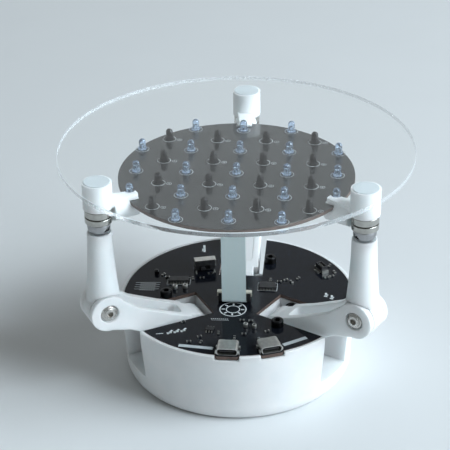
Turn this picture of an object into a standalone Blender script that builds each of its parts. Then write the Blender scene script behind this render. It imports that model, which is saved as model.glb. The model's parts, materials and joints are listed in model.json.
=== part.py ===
"""Ball-balancing table: a clear disc carried on three servo-driven arms over a round base.

The origin is the centre of the base's underside and +Z is up. Every size below is in
millimetres and is turned into metres when a mesh is made. Each arm is built in its own
frame: +X points out along the arm, +Y is the tangent and +Z is up.
"""
import bmesh
import bpy
from math import atan2, cos, hypot, pi, radians, sin
from mathutils import Matrix, Vector

MM = 0.001
GAP = 0.3                       # clearance between pieces that rest on or fit in each other
STAND_OFF = 0.1                 # clearance under the small parts that stand on the main board
MERGE = 0.00001                 # merge distance of the Screw modifiers, in metres
ROUND = 48                      # sides of the large round pieces

ARMS = {"rear": 90.0, "left": 210.0, "right": 330.0}    # azimuth of each arm, degrees

# Base shell and its board
BOARD_R = 50.0                  # both circuit boards
BOARD_T = 1.6
BASE_TOP = 33.2                 # rim, and the top face of the main board
RIM_R = 51.7
FOOT_R = 46.0
WALL_R = 49.9                   # outer wall low down, above the rounded foot
FOOT_ROUND_Z = 6.0
POCKET_R = 47.0
FLOOR_T = 3.0
SLOT_HALF = 9.75                # half width of each arm slot
SLOT_R = 16.0                   # inner end of each arm slot
SLOT_FLOOR = 10.0
CHANNEL_WALL = 1.2

# Arm linkage, in the plane of each arm
JOINT_R = 62.8                  # radius of the elbow axis and of the ball centres
SHOULDER_R = 23.5
SHOULDER_Z = 24.7
ELBOW_Z = 43.7
BALL_Z = 82.9
HUB_R = 7.2
HUB_HALF = 5.2
ELBOW_R = 8.1
FORK_HALF = 7.25
CHEEK_IN = 4.2
BARREL_HALF = 3.9
LINK_LENGTH = hypot(JOINT_R - SHOULDER_R, ELBOW_Z - SHOULDER_Z)
LINK_ANGLE = atan2(ELBOW_Z - SHOULDER_Z, JOINT_R - SHOULDER_R)
PIN_R = 1.5
BOSS_R = 4.4
SCREW_R = 1.9                   # elbow screw and its sunk seat
SEAT_R = 4.0
SEAT_FLOOR = 5.6

# Ball joint and platform
BALL_R = 4.9
MAGNET_R = 5.75
MAGNET_Z = 84.5
CUP_RIM_R = 4.8
CUP_DEPTH = 3.2
LINK_TOP = 79.9 - ELBOW_Z
CAP_R = 6.15
CAP_LOW = 91.0
RIB_R = 4.9                     # round rib under the tongue that grips the sensor board
RIB_START = 46.0
RIB_Z = 88.7
TONGUE_T = 1.5
TONGUE_TIP = 45.5               # radius of the tongue's tip
SENSOR_TOP = 91.9
DISC_R = 75.0
DISC_T = 2.0
DISC_LOW = 102.5

# Emitters and receivers stand on a square lattice, the receivers at its cell centres
LED_PITCH = 21.3
LED_R = 1.5
LED_FLANGE_R = 1.9
LED_HEIGHT = 5.0

# Micro servo
SERVO_HEIGHT = 22.7             # along its shaft
SERVO_WIDTH = 12.2
SERVO_LENGTH = 22.8
SERVO_SHAFT_END = 6.0           # from the shaft to the nearer end of the case
SERVO_FACE = SLOT_HALF + CHANNEL_WALL + GAP
EAR_LENGTH = 31.0
EAR_LOW = 15.6                  # faces of the mounting ears, across the slot
EAR_HIGH = 17.9
TURRET_R = 5.8

BOARD_SCREW = (28.8, -12.6)     # place of each board screw in its arm's frame
SCREW_POST_R = 3.0
SCREW_HOLE_R = 1.65
USB_ANGLES = {"left": 269.0, "right": 290.5}
USB_SIZE = (8.9, 3.2, 7.4)      # width, height and depth of a port's shell
USB_WALL = 0.35
TAB_HALF = 4.8                  # half width of the board's tab under a port
TAB_REACH = 1.0                 # how far the tab stands out past the board's edge

# Ribbon cable between the two boards
RIBBON_X = -1.0                 # middle of the ribbon
RIBBON_HALF = 5.25
RIBBON_Y = -9.5                 # its upright run
RIBBON_T = 0.3
SOCKET_FRONT = -7.4
SOCKET_BACK = -3.2
SOCKET_HALF = 7.0
SOCKET_H = 4.2
SLIT_HALF = 0.45
LOWER_ENTRY = BASE_TOP + 2.0
UPPER_ENTRY = SENSOR_TOP - BOARD_T - 2.0

# Slide switch on the main board
SWITCH_AT = (-16.4, 20.0)
SWITCH_TURN = 14.5              # degrees
SWITCH_SIZE = (9.2, 4.2, 5.6)
SWITCH_TRAVEL = 2.5
KNOB_WIDTH = 2.0
KNOB_LOW = 1.6
KNOB_HIGH = 3.0

# Small parts on the main board: place and turn of each passive, place and radius of each can
PASSIVES = (
    (-13.5, -36.5, 20), (-5.8, -33.2, 90), (20.4, 12.6, 30), (23.0, 11.0, 120), (17.6, 10.9, 0),
    (5.0, -33.5, 0), (-34.5, 14.4, 60), (-17.0, 12.5, 10), (-21.0, 12.0, 100))
CANS = ((-28.0, 2.6, 1.5), (-23.6, 3.4, 1.5), (5.3, -27.4, 1.2), (9.0, -28.2, 1.2))


def start():
    """Remove what the file holds and make the two collections."""
    for item in list(bpy.data.objects):
        bpy.data.objects.remove(item, do_unlink=True)
    scene = bpy.context.scene
    parts = bpy.data.collections.new("ball_balancing_table")
    cutters = bpy.data.collections.new("cutters")
    scene.collection.children.link(parts)
    scene.collection.children.link(cutters)
    return parts, cutters


PARTS, CUTTERS = start()


def make_material(name, colour, roughness, metallic=0.0, alpha=1.0):
    """Principled material for one node."""
    material = bpy.data.materials.new(name)
    material.use_nodes = True
    shader = material.node_tree.nodes["Principled BSDF"]
    shader.inputs["Base Color"].default_value = (*colour, 1.0)
    shader.inputs["Roughness"].default_value = roughness
    shader.inputs["Metallic"].default_value = metallic
    shader.inputs["Alpha"].default_value = alpha
    return material


LOOKS = {
    "white": ((0.86, 0.87, 0.88), 0.5, 0.0, 1.0),
    "board": ((0.02, 0.022, 0.026), 0.45, 0.0, 1.0),
    "black": ((0.015, 0.015, 0.016), 0.5, 0.0, 1.0),
    "steel": ((0.62, 0.62, 0.6), 0.3, 1.0, 1.0),
    "chrome": ((0.85, 0.86, 0.87), 0.08, 1.0, 1.0),
    "nickel": ((0.6, 0.6, 0.6), 0.2, 1.0, 1.0),
    "ribbon": ((0.6, 0.7, 0.78), 0.4, 0.0, 1.0),
    "acrylic": ((0.95, 0.98, 0.98), 0.03, 0.0, 0.25),
    "servo": ((0.03, 0.03, 0.035), 0.4, 0.0, 1.0),
}


def arm_frame(angle, radius=0.0, height=0.0):
    """Frame whose X axis points outwards at the given azimuth."""
    shift = Matrix.Translation(Vector((radius, 0.0, height)) * MM)
    return Matrix.Rotation(radians(angle), 4, "Z") @ shift


def finish(bm, name, look=None, frame=None):
    """Turn a bmesh in millimetres into a part, or into a cutter when it has no look."""
    bmesh.ops.scale(bm, vec=(MM, MM, MM), verts=bm.verts)
    bmesh.ops.recalc_face_normals(bm, faces=bm.faces)
    mesh = bpy.data.meshes.new(name)
    bm.to_mesh(mesh)
    bm.free()
    item = bpy.data.objects.new(name, mesh)
    item.matrix_world = frame or Matrix.Identity(4)
    if look is None:
        CUTTERS.objects.link(item)
        item.display_type = "WIRE"
        item.hide_render = True
    else:
        PARTS.objects.link(item)
        mesh.materials.append(make_material(name, *LOOKS[look]))
        mesh.shade_smooth()
        mesh.set_sharp_from_angle(angle=radians(30))
    return item


def combine(item, other, operation):
    """Add a Boolean modifier that cuts with, or joins, the other object."""
    modifier = item.modifiers.new(other.name, "BOOLEAN")
    modifier.operation = operation
    modifier.solver = "EXACT"
    modifier.object = other
    return modifier


def cut(item, bm, name, frame=None):
    """Cut a piece with a bmesh."""
    combine(item, finish(bm, item.name + "_" + name, None, frame), "DIFFERENCE")


def join(item, bm, name, frame=None):
    """Join a bmesh to a piece."""
    combine(item, finish(bm, item.name + "_" + name, None, frame), "UNION")


def add_box(bm, low, high, turn=None):
    """Box between two corners, turned about the origin when a matrix is given."""
    low, high = Vector(low), Vector(high)
    matrix = Matrix.Translation((low + high) / 2) @ Matrix.Diagonal((*(high - low), 1.0))
    bmesh.ops.create_cube(bm, size=1.0, matrix=(turn or Matrix.Identity(4)) @ matrix)
    return bm


def add_rod(bm, radius, start, end, segments=20, radius_end=None):
    """Cylinder or cone from one point to another."""
    start, end = Vector(start), Vector(end)
    run = end - start
    turn = run.to_track_quat("Z", "Y").to_matrix().to_4x4()
    matrix = Matrix.Translation((start + end) / 2) @ turn
    bmesh.ops.create_cone(
        bm, cap_ends=True, segments=segments, radius1=radius,
        radius2=radius if radius_end is None else radius_end,
        depth=run.length, matrix=matrix)
    return bm


def add_ball(bm, radius, centre, across=16, up=10):
    """Sphere about a point."""
    bmesh.ops.create_uvsphere(
        bm, u_segments=across, v_segments=up, radius=radius,
        matrix=Matrix.Translation(centre))
    return bm


def add_turned(bm, profile, centre=(0.0, 0.0), segments=12):
    """Spin a closed-off profile of (radius, height) points about a vertical axis."""
    first = [bm.verts.new((r + centre[0], centre[1], z)) for r, z in profile]
    edges = [bm.edges.new(pair) for pair in zip(first, first[1:])]
    bmesh.ops.spin(
        bm, geom=first + edges, cent=(*centre, 0.0), axis=(0, 0, 1),
        angle=2 * pi, steps=segments, use_merge=True)
    bmesh.ops.remove_doubles(bm, verts=bm.verts, dist=0.01)
    return bm


def add_plate(bm, outline, low, high):
    """Flat plate with an outline in the X-Z plane, between two Y values."""
    corners = [bm.verts.new((x, low, z)) for x, z in outline]
    face = bm.faces.new(corners)
    grown = bmesh.ops.extrude_face_region(bm, geom=[face])
    moved = [v for v in grown["geom"] if isinstance(v, bmesh.types.BMVert)]
    bmesh.ops.translate(bm, verts=moved, vec=(0.0, high - low, 0.0))
    return bm


def turned(name, profile, look, frame=None, segments=ROUND):
    """Part whose profile runs down its outer side and is turned by a Screw modifier."""
    bm = bmesh.new()
    points = [bm.verts.new((r, 0.0, z)) for r, z in profile]
    for pair in zip(points, points[1:]):
        bm.edges.new(pair)
    item = finish(bm, name, look, frame)
    screw = item.modifiers.new("turn", "SCREW")
    screw.steps = segments
    screw.render_steps = segments
    screw.use_merge_vertices = True
    screw.merge_threshold = MERGE
    return item


def arc(centre, radius, start, end, steps):
    """Points on an arc, angles in degrees."""
    points = []
    for i in range(steps + 1):
        angle = radians(start + (end - start) * i / steps)
        points.append((centre[0] + radius * cos(angle), centre[1] + radius * sin(angle)))
    return points


def new():
    """Empty bmesh."""
    return bmesh.new()


def channel(bm, inner, half, low, high):
    """Radial block that reaches past the wall."""
    return add_box(bm, (inner, -half, low), (RIM_R + 10, half, high))


def shell_profile():
    """Outer outline of the base, down its outer side from the rim to the flat underside."""
    rounded = arc((FOOT_R, FOOT_ROUND_Z), WALL_R - FOOT_R, 0, -90, 3)
    squash = FOOT_ROUND_Z / (WALL_R - FOOT_R)
    foot = [(r, FOOT_ROUND_Z + (z - FOOT_ROUND_Z) * squash) for r, z in rounded]
    wall = [(0, BASE_TOP), (RIM_R, BASE_TOP), (RIM_R - 0.35, 24.0), (WALL_R + 0.4, 14.0)]
    return wall + foot + [(0, 0)]


def base_shell():
    """White base: outer wall, floor, three arm channels, screw posts and servo posts."""
    shell = turned("base_shell", shell_profile(), "white")
    room = add_rod(new(), POCKET_R, (0, 0, FLOOR_T), (0, 0, BASE_TOP + 10), ROUND)
    pocket = finish(room, "pocket")
    for side, angle in ARMS.items():
        frame = arm_frame(angle)
        block = channel(new(), SLOT_R - CHANNEL_WALL, SLOT_HALF + CHANNEL_WALL, -1, BASE_TOP + 12)
        cut(pocket, block, "channel_" + side, frame)
        post = add_rod(new(), SCREW_POST_R, (*BOARD_SCREW, -1), (*BOARD_SCREW, BASE_TOP + 12), 12)
        cut(pocket, post, "post_" + side, frame)
        ledges = new()
        for near, far in ((2.8, 6.4), (29.8, 33.4)):
            add_box(ledges, (near, EAR_HIGH + GAP, -1), (far, 21.5, SHOULDER_Z + 5.5))
        cut(pocket, ledges, "servo_posts_" + side, frame)
    combine(shell, pocket, "DIFFERENCE")
    seat = BASE_TOP - BOARD_T - GAP
    recess = add_rod(new(), BOARD_R + GAP, (0, 0, seat), (0, 0, BASE_TOP + 5), ROUND)
    cut(shell, recess, "board_seat")
    for side, angle in ARMS.items():
        frame = arm_frame(angle)
        cut(shell, channel(new(), SLOT_R, SLOT_HALF, SLOT_FLOOR, BASE_TOP + 20), "slot_" + side, frame)
        pivot_boss(shell, side, frame)
        hole = add_rod(new(), SCREW_HOLE_R, (*BOARD_SCREW, 23.0), (*BOARD_SCREW, BASE_TOP + 5), 10)
        cut(shell, hole, "screw_hole_" + side, frame)
    for side, angle in USB_ANGLES.items():
        side_y = TAB_HALF + 0.4
        notch = add_box(new(), (45.0, -side_y, seat), (60.0, side_y, BASE_TOP + 5))
        cut(shell, notch, "port_notch_" + side, arm_frame(angle))
    return shell


def pivot_boss(shell, side, frame):
    """Pin boss on one wall of the channel and the servo's window in the other."""
    def across(radius, start, end, segments):
        """Rod along the shoulder axis between two places across the slot."""
        low, high = (SHOULDER_R, start, SHOULDER_Z), (SHOULDER_R, end, SHOULDER_Z)
        return add_rod(new(), radius, low, high, segments)

    boss = across(BOSS_R, -SLOT_HALF - 0.8, -HUB_HALF - 0.6, 16)
    join(shell, boss, "boss_" + side, frame)
    cut(shell, across(PIN_R + 0.2, -15, -4, 12), "pin_hole_" + side, frame)
    cut(shell, across(TURRET_R + 0.5, 8, 13, 20), "servo_window_" + side, frame)


def main_board():
    """Round board with a slot for each arm and two small tabs under the ports."""
    low, high = BASE_TOP - BOARD_T, BASE_TOP
    board = finish(add_rod(new(), BOARD_R, (0, 0, low), (0, 0, high), ROUND), "main_board", "board")
    for side, angle in USB_ANGLES.items():
        tab = add_box(new(), (46.0, -TAB_HALF, low), (BOARD_R + TAB_REACH, TAB_HALF, high))
        join(board, tab, "tab_" + side, arm_frame(angle))
    for side, angle in ARMS.items():
        frame = arm_frame(angle)
        cut(board, channel(new(), SLOT_R, SLOT_HALF, low - 3, high + 3), "slot_" + side, frame)
        hole = add_rod(new(), SCREW_HOLE_R, (*BOARD_SCREW, low - 3), (*BOARD_SCREW, high + 3), 10)
        cut(board, hole, "screw_hole_" + side, frame)
    join(board, soldered_parts(), "soldered_parts")
    return board


def pointing(frame, start, direction):
    """Frame at a point in millimetres whose Z axis runs along the direction."""
    turn = Vector(direction).to_track_quat("Z", "Y").to_matrix().to_4x4()
    return frame @ Matrix.Translation(Vector(start) * MM) @ turn


def cap_screw(name, look, frame, head_r, head_h, shank_r, shank_l, segments=12):
    """Socket screw whose head stands on its frame's XY plane and whose shank goes below it."""
    profile = [(0.0, head_h * 0.4), (head_r * 0.48, head_h * 0.4), (head_r * 0.48, head_h),
               (head_r * 0.84, head_h), (head_r, head_h * 0.8), (head_r, 0.0),
               (shank_r, 0.0), (shank_r, -shank_l), (0.0, -shank_l)]
    return finish(add_turned(new(), profile, segments=segments), name, look, frame)


def board_screw(side, angle):
    """Black cap screw that holds the main board to its post."""
    frame = pointing(arm_frame(angle), (*BOARD_SCREW, BASE_TOP + STAND_OFF), (0, 0, 1))
    return cap_screw("board_screw_" + side, "black", frame, 2.6, 2.8, 1.35, 8.5)


def usb_port(side, angle):
    """Metal port shell, open at its mouth, with its tongue inside."""
    frame = arm_frame(angle)
    width, height, depth = USB_SIZE
    mouth = BOARD_R + GAP
    back = mouth - depth
    centre = BASE_TOP + STAND_OFF + height / 2
    port = finish(new_pill(width, height, back, mouth, centre), "usb_port_" + side, "steel", frame)
    inner_width, inner_height = width - 2 * USB_WALL, height - 2 * USB_WALL
    cut(port, new_pill(inner_width, inner_height, back + 1.2, mouth + 1, centre), "hollow", frame)
    tongue = add_box(new(), (back + 0.9, -3.1, centre - 0.35), (mouth - 0.6, 3.1, centre + 0.35))
    join(port, tongue, "tongue", frame)
    return port


def new_pill(width, height, start, end, centre):
    """Rounded bar along X with a pill-shaped section."""
    radius = height * 0.4
    half = width / 2 - radius
    rise = height / 2 - radius
    outline = []
    for turn, y, z in ((0, half, rise), (90, -half, rise), (180, -half, -rise), (270, half, -rise)):
        outline += arc((y, z + centre), radius, turn, turn + 90, 4)
    bm = new()
    face = bm.faces.new([bm.verts.new((start, y, z)) for y, z in outline])
    grown = bmesh.ops.extrude_face_region(bm, geom=[face])
    moved = [v for v in grown["geom"] if isinstance(v, bmesh.types.BMVert)]
    bmesh.ops.translate(bm, verts=moved, vec=(end - start, 0.0, 0.0))
    return bm


def servo(side, angle):
    """Micro servo lying beside its slot: case, mounting ears and output turret."""
    frame = arm_frame(angle, SHOULDER_R, SHOULDER_Z)
    inner = SERVO_SHAFT_END - SERVO_LENGTH
    half = SERVO_WIDTH / 2
    back = SERVO_FACE + SERVO_HEIGHT
    case = add_box(new(), (inner, SERVO_FACE, -half), (SERVO_SHAFT_END, back, half))
    item = finish(case, "servo_" + side, "servo", frame)
    middle = (inner + SERVO_SHAFT_END) / 2
    start, end = middle - EAR_LENGTH / 2, middle + EAR_LENGTH / 2
    ears = add_box(new(), (start, EAR_LOW, -half + 0.2), (end, EAR_HIGH, half - 0.2))
    join(item, ears, "ears", frame)
    turret = add_rod(new(), TURRET_R, (0, SERVO_FACE + 1, 0), (0, 8.2, 0), 20)
    join(item, turret, "turret", frame)
    holes = new()
    for x in ear_holes(middle):
        add_rod(holes, 1.1, (x, EAR_LOW - 1, 0), (x, EAR_HIGH + 1, 0), 12)
    cut(item, holes, "ear_holes", frame)
    return item


def ear_holes(middle):
    """Places of the two ear holes along the servo."""
    reach = (EAR_LENGTH + SERVO_LENGTH) / 4
    return (middle - reach, middle + reach)


def servo_screws(side, angle):
    """Two self-tapping screws through the ears of a servo."""
    frame = arm_frame(angle, SHOULDER_R, SHOULDER_Z)
    for number, x in enumerate(ear_holes(SERVO_SHAFT_END - SERVO_LENGTH / 2), 1):
        name = "servo_screw_" + side + "_" + str(number)
        place = pointing(frame, (x, EAR_LOW - STAND_OFF, 0), (0, -1, 0))
        cap_screw(name, "steel", place, 1.7, 1.2, 0.75, 2.5, 8)


def servo_horn(side, angle):
    """Round horn between the servo's turret and the link's hub."""
    profile = [(0.0, 0.3), (4.1, 0.3), (4.4, 0.0), (4.4, -1.7), (4.1, -2.0), (0.0, -2.0)]
    bm = add_turned(new(), profile, segments=16)
    tilt = Matrix.Translation((0, HUB_HALF + 0.6, 0)) @ Matrix.Rotation(radians(90), 4, "X")
    bmesh.ops.transform(bm, matrix=tilt, verts=bm.verts)
    return finish(bm, "servo_horn_" + side, "white", arm_frame(angle, SHOULDER_R, SHOULDER_Z))


def pivot_pin(side, angle):
    """Headed steel pin that carries the free side of the hub."""
    outer = -SLOT_HALF - CHANNEL_WALL - 0.15
    head = PIN_R + 0.6
    profile = [(0.0, 1.6), (head, 1.6), (head, 0.0), (PIN_R, 0.0), (PIN_R, -9.4), (0.0, -9.4)]
    bm = add_turned(new(), profile, segments=12)
    tilt = Matrix.Translation((0, outer, 0)) @ Matrix.Rotation(radians(90), 4, "X")
    bmesh.ops.transform(bm, matrix=tilt, verts=bm.verts)
    return finish(bm, "pivot_pin_" + side, "steel", arm_frame(angle, SHOULDER_R, SHOULDER_Z))


def link_outline():
    """Side outline of the lower link: elbow boss, straight waist and shoulder hub."""
    near, far = 16.0, LINK_LENGTH - 13.0
    boss = arc((LINK_LENGTH, 0), ELBOW_R, -128, 128, 12)
    hub = arc((0, 0), HUB_R, 62, 298, 9)
    return boss + [(far, 5.3), (near, 5.5)] + hub + [(near, -5.5), (far, -5.3)]


def lower_link(side, angle):
    """Forked link from the servo hub to the elbow."""
    frame = arm_frame(angle, SHOULDER_R, SHOULDER_Z) @ Matrix.Rotation(-LINK_ANGLE, 4, "Y")
    bm = add_plate(new(), link_outline(), -FORK_HALF, FORK_HALF)
    link = finish(bm, "lower_link_" + side, "white", frame)
    reliefs = new()
    for sign in (-1, 1):
        near, far = sorted((sign * HUB_HALF, sign * (FORK_HALF + 3)))
        add_box(reliefs, (-12, near, -12), (4.9, far, 12))
    cut(link, reliefs, "hub_sides", frame)
    fork = add_box(new(), (8.5, -CHEEK_IN, -15), (LINK_LENGTH + 15, CHEEK_IN, 15))
    cut(link, fork, "fork", frame)
    pin = add_rod(new(), PIN_R + 0.1, (0, -HUB_HALF - 2, 0), (0, -1.2, 0), 12)
    cut(link, pin, "pin_bore", frame)
    out = FORK_HALF + 3
    bore = add_rod(new(), SCREW_R + 0.15, (LINK_LENGTH, -out, 0), (LINK_LENGTH, out, 0), 12)
    cut(link, bore, "screw_bore", frame)
    seats = new()
    for sign in (-1, 1):
        add_rod(seats, SEAT_R, (LINK_LENGTH, sign * SEAT_FLOOR, 0), (LINK_LENGTH, sign * 12, 0), 16)
    cut(link, seats, "screw_seats", frame)
    return link


def elbow_screws(side, angle):
    """Screw on each side of the elbow, its head sunk in the cheek."""
    frame = arm_frame(angle, JOINT_R, ELBOW_Z)
    for label, sign in (("a", 1), ("b", -1)):
        place = pointing(frame, (0, sign * (SEAT_FLOOR + 0.15), 0), (0, sign, 0))
        cap_screw("elbow_screw_" + side + "_" + label, "steel", place, 3.45, 1.8, SCREW_R, 4.4)


def upper_link(side, angle):
    """Round tapered column on a barrel foot, with a shallow cup for the ball."""
    frame = arm_frame(angle, JOINT_R, ELBOW_Z)
    profile = [(0, LINK_TOP), (CUP_RIM_R + 0.25, LINK_TOP), (CUP_RIM_R + 0.4, LINK_TOP - 0.3),
               (5.5, LINK_TOP - 10), (6.3, 14.0), (7.0, 7.0), (7.05, 1.0), (0, 0.5)]
    link = turned("upper_link_" + side, profile, "white", frame, 24)
    sides = new()
    for sign in (-1, 1):
        add_rod(sides, ELBOW_R + 0.5, (0, sign * BARREL_HALF, 0), (0, sign * 14, 0), 24)
    cut(link, sides, "cheek_room", frame)
    barrel = add_rod(new(), ELBOW_R, (0, -BARREL_HALF + 0.01, 0), (0, BARREL_HALF - 0.01, 0), 24)
    join(link, barrel, "barrel", frame)
    low, high = (0, 0, LINK_TOP - CUP_DEPTH), (0, 0, LINK_TOP + 0.5)
    cup = add_rod(new(), CUP_RIM_R - 0.8, low, high, 24, CUP_RIM_R + 0.12)
    cut(link, cup, "cup", frame)
    bore = add_rod(new(), SCREW_R + 0.15, (0, -20, 0), (0, 20, 0), 12)
    cut(link, bore, "screw_bore", frame)
    return link


def ball(side, angle):
    """Polished steel ball of the upper joint."""
    frame = arm_frame(angle, JOINT_R, BALL_Z)
    return finish(add_ball(new(), BALL_R, (0, 0, 0)), "ball_" + side, "chrome", frame)


def ball_magnets(side, angle):
    """Two stacked magnets that hold the ball, the lower one a ring with a seat for it."""
    frame = arm_frame(angle, JOINT_R, BALL_Z)
    lift = MAGNET_Z - BALL_Z
    split = lift + 2.8
    top = CAP_LOW - BALL_Z - GAP
    layers = (("seat_magnet_", lift, split, 0.5), ("top_magnet_", split + GAP, top, 0.25))
    for name, low, high, edge in layers:
        profile = [(0, high), (MAGNET_R - 0.25, high), (MAGNET_R, high - 0.25),
                   (MAGNET_R, low + edge), (MAGNET_R - edge, low), (0, low)]
        item = turned(name + side, profile, "nickel", frame, 20)
        cut(item, add_ball(new(), BALL_R + GAP, (0, 0, 0), 16, 12), "ball_room", frame)


def bracket(side, angle):
    """Cap that carries the disc, with an arm that grips the edge of the sensor board."""
    frame = arm_frame(angle)
    cap_high = DISC_LOW - GAP
    cap = add_rod(new(), CAP_R, (JOINT_R, 0, CAP_LOW), (JOINT_R, 0, cap_high), 24)
    item = finish(cap, "bracket_" + side, "white", frame)
    board_low = SENSOR_TOP - BOARD_T
    outer = JOINT_R - MAGNET_R - GAP
    join(item, add_rod(new(), RIB_R, (RIB_START, 0, RIB_Z), (outer, 0, RIB_Z), 16), "rib", frame)
    tongue = tongue_plate(CAP_LOW + 0.01, SENSOR_TOP + GAP + TONGUE_T)
    join(item, tongue, "tongue", frame)
    low, high = board_low - GAP, SENSOR_TOP + GAP
    cut(item, add_rod(new(), BOARD_R + GAP, (0, 0, low), (0, 0, high), ROUND), "board_room")
    notches = new()
    for x, y in lattice(5):
        low, high = (x, y, SENSOR_TOP - 1), (x, y, SENSOR_TOP + 3)
        add_rod(notches, LED_FLANGE_R + 0.4, low, high, 12)
    cut(item, notches, "emitter_notches")
    return item


def tongue_plate(low, high):
    """Flat tapered tongue from the cap onto the board."""
    bm = new()
    side = [(JOINT_R, 6.1), (52.0, 5.9), (TONGUE_TIP, 2.6)]
    outline = [(x, -y) for x, y in side] + side[::-1]
    face = bm.faces.new([bm.verts.new((x, y, low)) for x, y in outline])
    grown = bmesh.ops.extrude_face_region(bm, geom=[face])
    moved = [v for v in grown["geom"] if isinstance(v, bmesh.types.BMVert)]
    bmesh.ops.translate(bm, verts=moved, vec=(0.0, 0.0, high - low))
    return bm


def sensor_board():
    """Upper round board with its soldered infrared emitters and receivers."""
    bm = add_rod(new(), BOARD_R, (0, 0, SENSOR_TOP - BOARD_T), (0, 0, SENSOR_TOP), ROUND)
    board = finish(bm, "sensor_board", "board")
    for name, count in (("emitters", 5), ("receivers", 4)):
        join(board, led_set(count), name)
    return board


def lattice(count):
    """Places on a square lattice that fall on the board."""
    places = []
    for i in range(count):
        for j in range(count):
            x = (i - (count - 1) / 2) * LED_PITCH
            y = (j - (count - 1) / 2) * LED_PITCH
            if hypot(x, y) < BOARD_R - LED_FLANGE_R:
                places.append((x, y))
    return places


def led_set(count):
    """Domed 3 mm parts on every place of one lattice, with their feet in the board."""
    low = SENSOR_TOP - BOARD_T / 2
    top = SENSOR_TOP + LED_HEIGHT
    shoulder = top - LED_R
    flange = SENSOR_TOP + 1.0
    profile = [(0.0, top), (LED_R, shoulder), (LED_R, flange), (LED_FLANGE_R, flange),
               (LED_FLANGE_R, low), (0.0, low)]
    bm = new()
    for place in lattice(count):
        add_turned(bm, profile, place, 6)
    return bm


def clear_disc():
    """Clear round plate on which the ball rolls."""
    top = DISC_LOW + DISC_T
    profile = [(0, top), (DISC_R, top), (DISC_R, DISC_LOW), (0, DISC_LOW)]
    return turned("clear_disc", profile, "acrylic", None, 64)


def ribbon_path():
    """Side path of the ribbon: out of the lower socket, up, and back into the upper one."""
    bend = abs(RIBBON_Y - SOCKET_FRONT) - 0.4
    turn_y = RIBBON_Y + bend
    low = arc((turn_y, LOWER_ENTRY + bend), bend, 270, 180, 5)
    high = arc((turn_y, UPPER_ENTRY - bend), bend, 180, 90, 5)
    return [(SOCKET_FRONT - 0.2, LOWER_ENTRY)] + low + high + [(SOCKET_FRONT - 0.2, UPPER_ENTRY)]


def ribbon_cable():
    """Flat flexible cable, an open strip given its thickness by Solidify."""
    bm = new()
    points = [bm.verts.new((RIBBON_X - RIBBON_HALF, y, z)) for y, z in ribbon_path()]
    edges = [bm.edges.new(pair) for pair in zip(points, points[1:])]
    grown = bmesh.ops.extrude_edge_only(bm, edges=edges)
    moved = [v for v in grown["geom"] if isinstance(v, bmesh.types.BMVert)]
    bmesh.ops.translate(bm, verts=moved, vec=(2 * RIBBON_HALF, 0.0, 0.0))
    item = finish(bm, "ribbon_cable", "ribbon")
    skin = item.modifiers.new("thickness", "SOLIDIFY")
    skin.thickness = RIBBON_T * MM
    skin.offset = 0.0
    return item


def ribbon_socket(name, low, high, entry):
    """Socket for the flat cable with a slit across its front."""
    left, right = RIBBON_X - SOCKET_HALF, RIBBON_X + SOCKET_HALF
    item = finish(add_box(new(), (left, SOCKET_FRONT, low), (right, SOCKET_BACK, high)), name, "black")
    reach = RIBBON_HALF + 0.4
    slit_low = (RIBBON_X - reach, SOCKET_FRONT - 1, entry - SLIT_HALF)
    slit_high = (RIBBON_X + reach, SOCKET_FRONT + 2.2, entry + SLIT_HALF)
    cut(item, add_box(new(), slit_low, slit_high), "slit")
    return item


def switch_frame():
    """Frame of the switch: X along its slot, Y towards its back."""
    place = Matrix.Translation(Vector((*SWITCH_AT, BASE_TOP + STAND_OFF)) * MM)
    return place @ Matrix.Rotation(radians(SWITCH_TURN), 4, "Z")


def power_switch():
    """Upright slide switch whose knob runs in a slot across its front."""
    frame = switch_frame()
    wide, deep, high = SWITCH_SIZE
    front = -deep / 2
    block = add_box(new(), (-wide / 2, front, 0), (wide / 2, deep / 2, high))
    body = finish(block, "power_switch_body", "steel", frame)
    reach = (SWITCH_TRAVEL + KNOB_WIDTH) / 2
    slot_low = (-reach - GAP, front - 1, KNOB_LOW - GAP)
    slot_high = (reach + GAP, front + 2.0, KNOB_HIGH + GAP)
    cut(body, add_box(new(), slot_low, slot_high), "knob_slot", frame)
    knob_low, knob_high = (-reach, front - 1.2, KNOB_LOW), (KNOB_WIDTH - reach, front + 1.6, KNOB_HIGH)
    finish(add_box(new(), knob_low, knob_high), "power_switch_knob", "black", frame)


def board_box(bm, x, y, angle, size, low):
    """Low rectangular part on the main board."""
    turn = Matrix.Translation((x, y, low)) @ Matrix.Rotation(radians(angle), 4, "Z")
    return add_box(bm, (-size[0] / 2, -size[1] / 2, 0), (size[0] / 2, size[1] / 2, size[2]), turn)


def chips_and_headers():
    """Larger parts on the main board, each its own piece: place, turn and size."""
    pieces = {
        "driver_chip": (-27.0, 9.5, 4.0, (8.6, 3.9, 1.5)),
        "controller_chip": (12.6, 6.4, 0.0, (7.0, 5.0, 1.4)),
        "regulator_chip": (-9.6, -30.5, -8.0, (3.4, 3.4, 0.9)),
        "spare_header": (36.0, 22.5, -58.0, (5.6, 3.0, 3.2)),
    }
    for name, (x, y, angle, size) in pieces.items():
        finish(board_box(new(), x, y, angle, size, BASE_TOP + STAND_OFF), name, "black")
    foot = Vector((-37.6, 15.6, BASE_TOP + STAND_OFF))
    finish(add_rod(new(), 1.1, foot, foot + Vector((0, 0, 2.0)), 16), "status_lamp", "black")


def soldered_parts():
    """Small passives and cans that are one piece with the main board."""
    sunk = BASE_TOP - BOARD_T / 2
    bm = new()
    for x, y, angle in PASSIVES:
        board_box(bm, x, y, angle, (2.0, 1.2, BOARD_T / 2 + 0.7), sunk)
    for x, y, radius in CANS:
        add_rod(bm, radius, (x, y, sunk), (x, y, BASE_TOP + 2.1), 16)
    return bm


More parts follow.
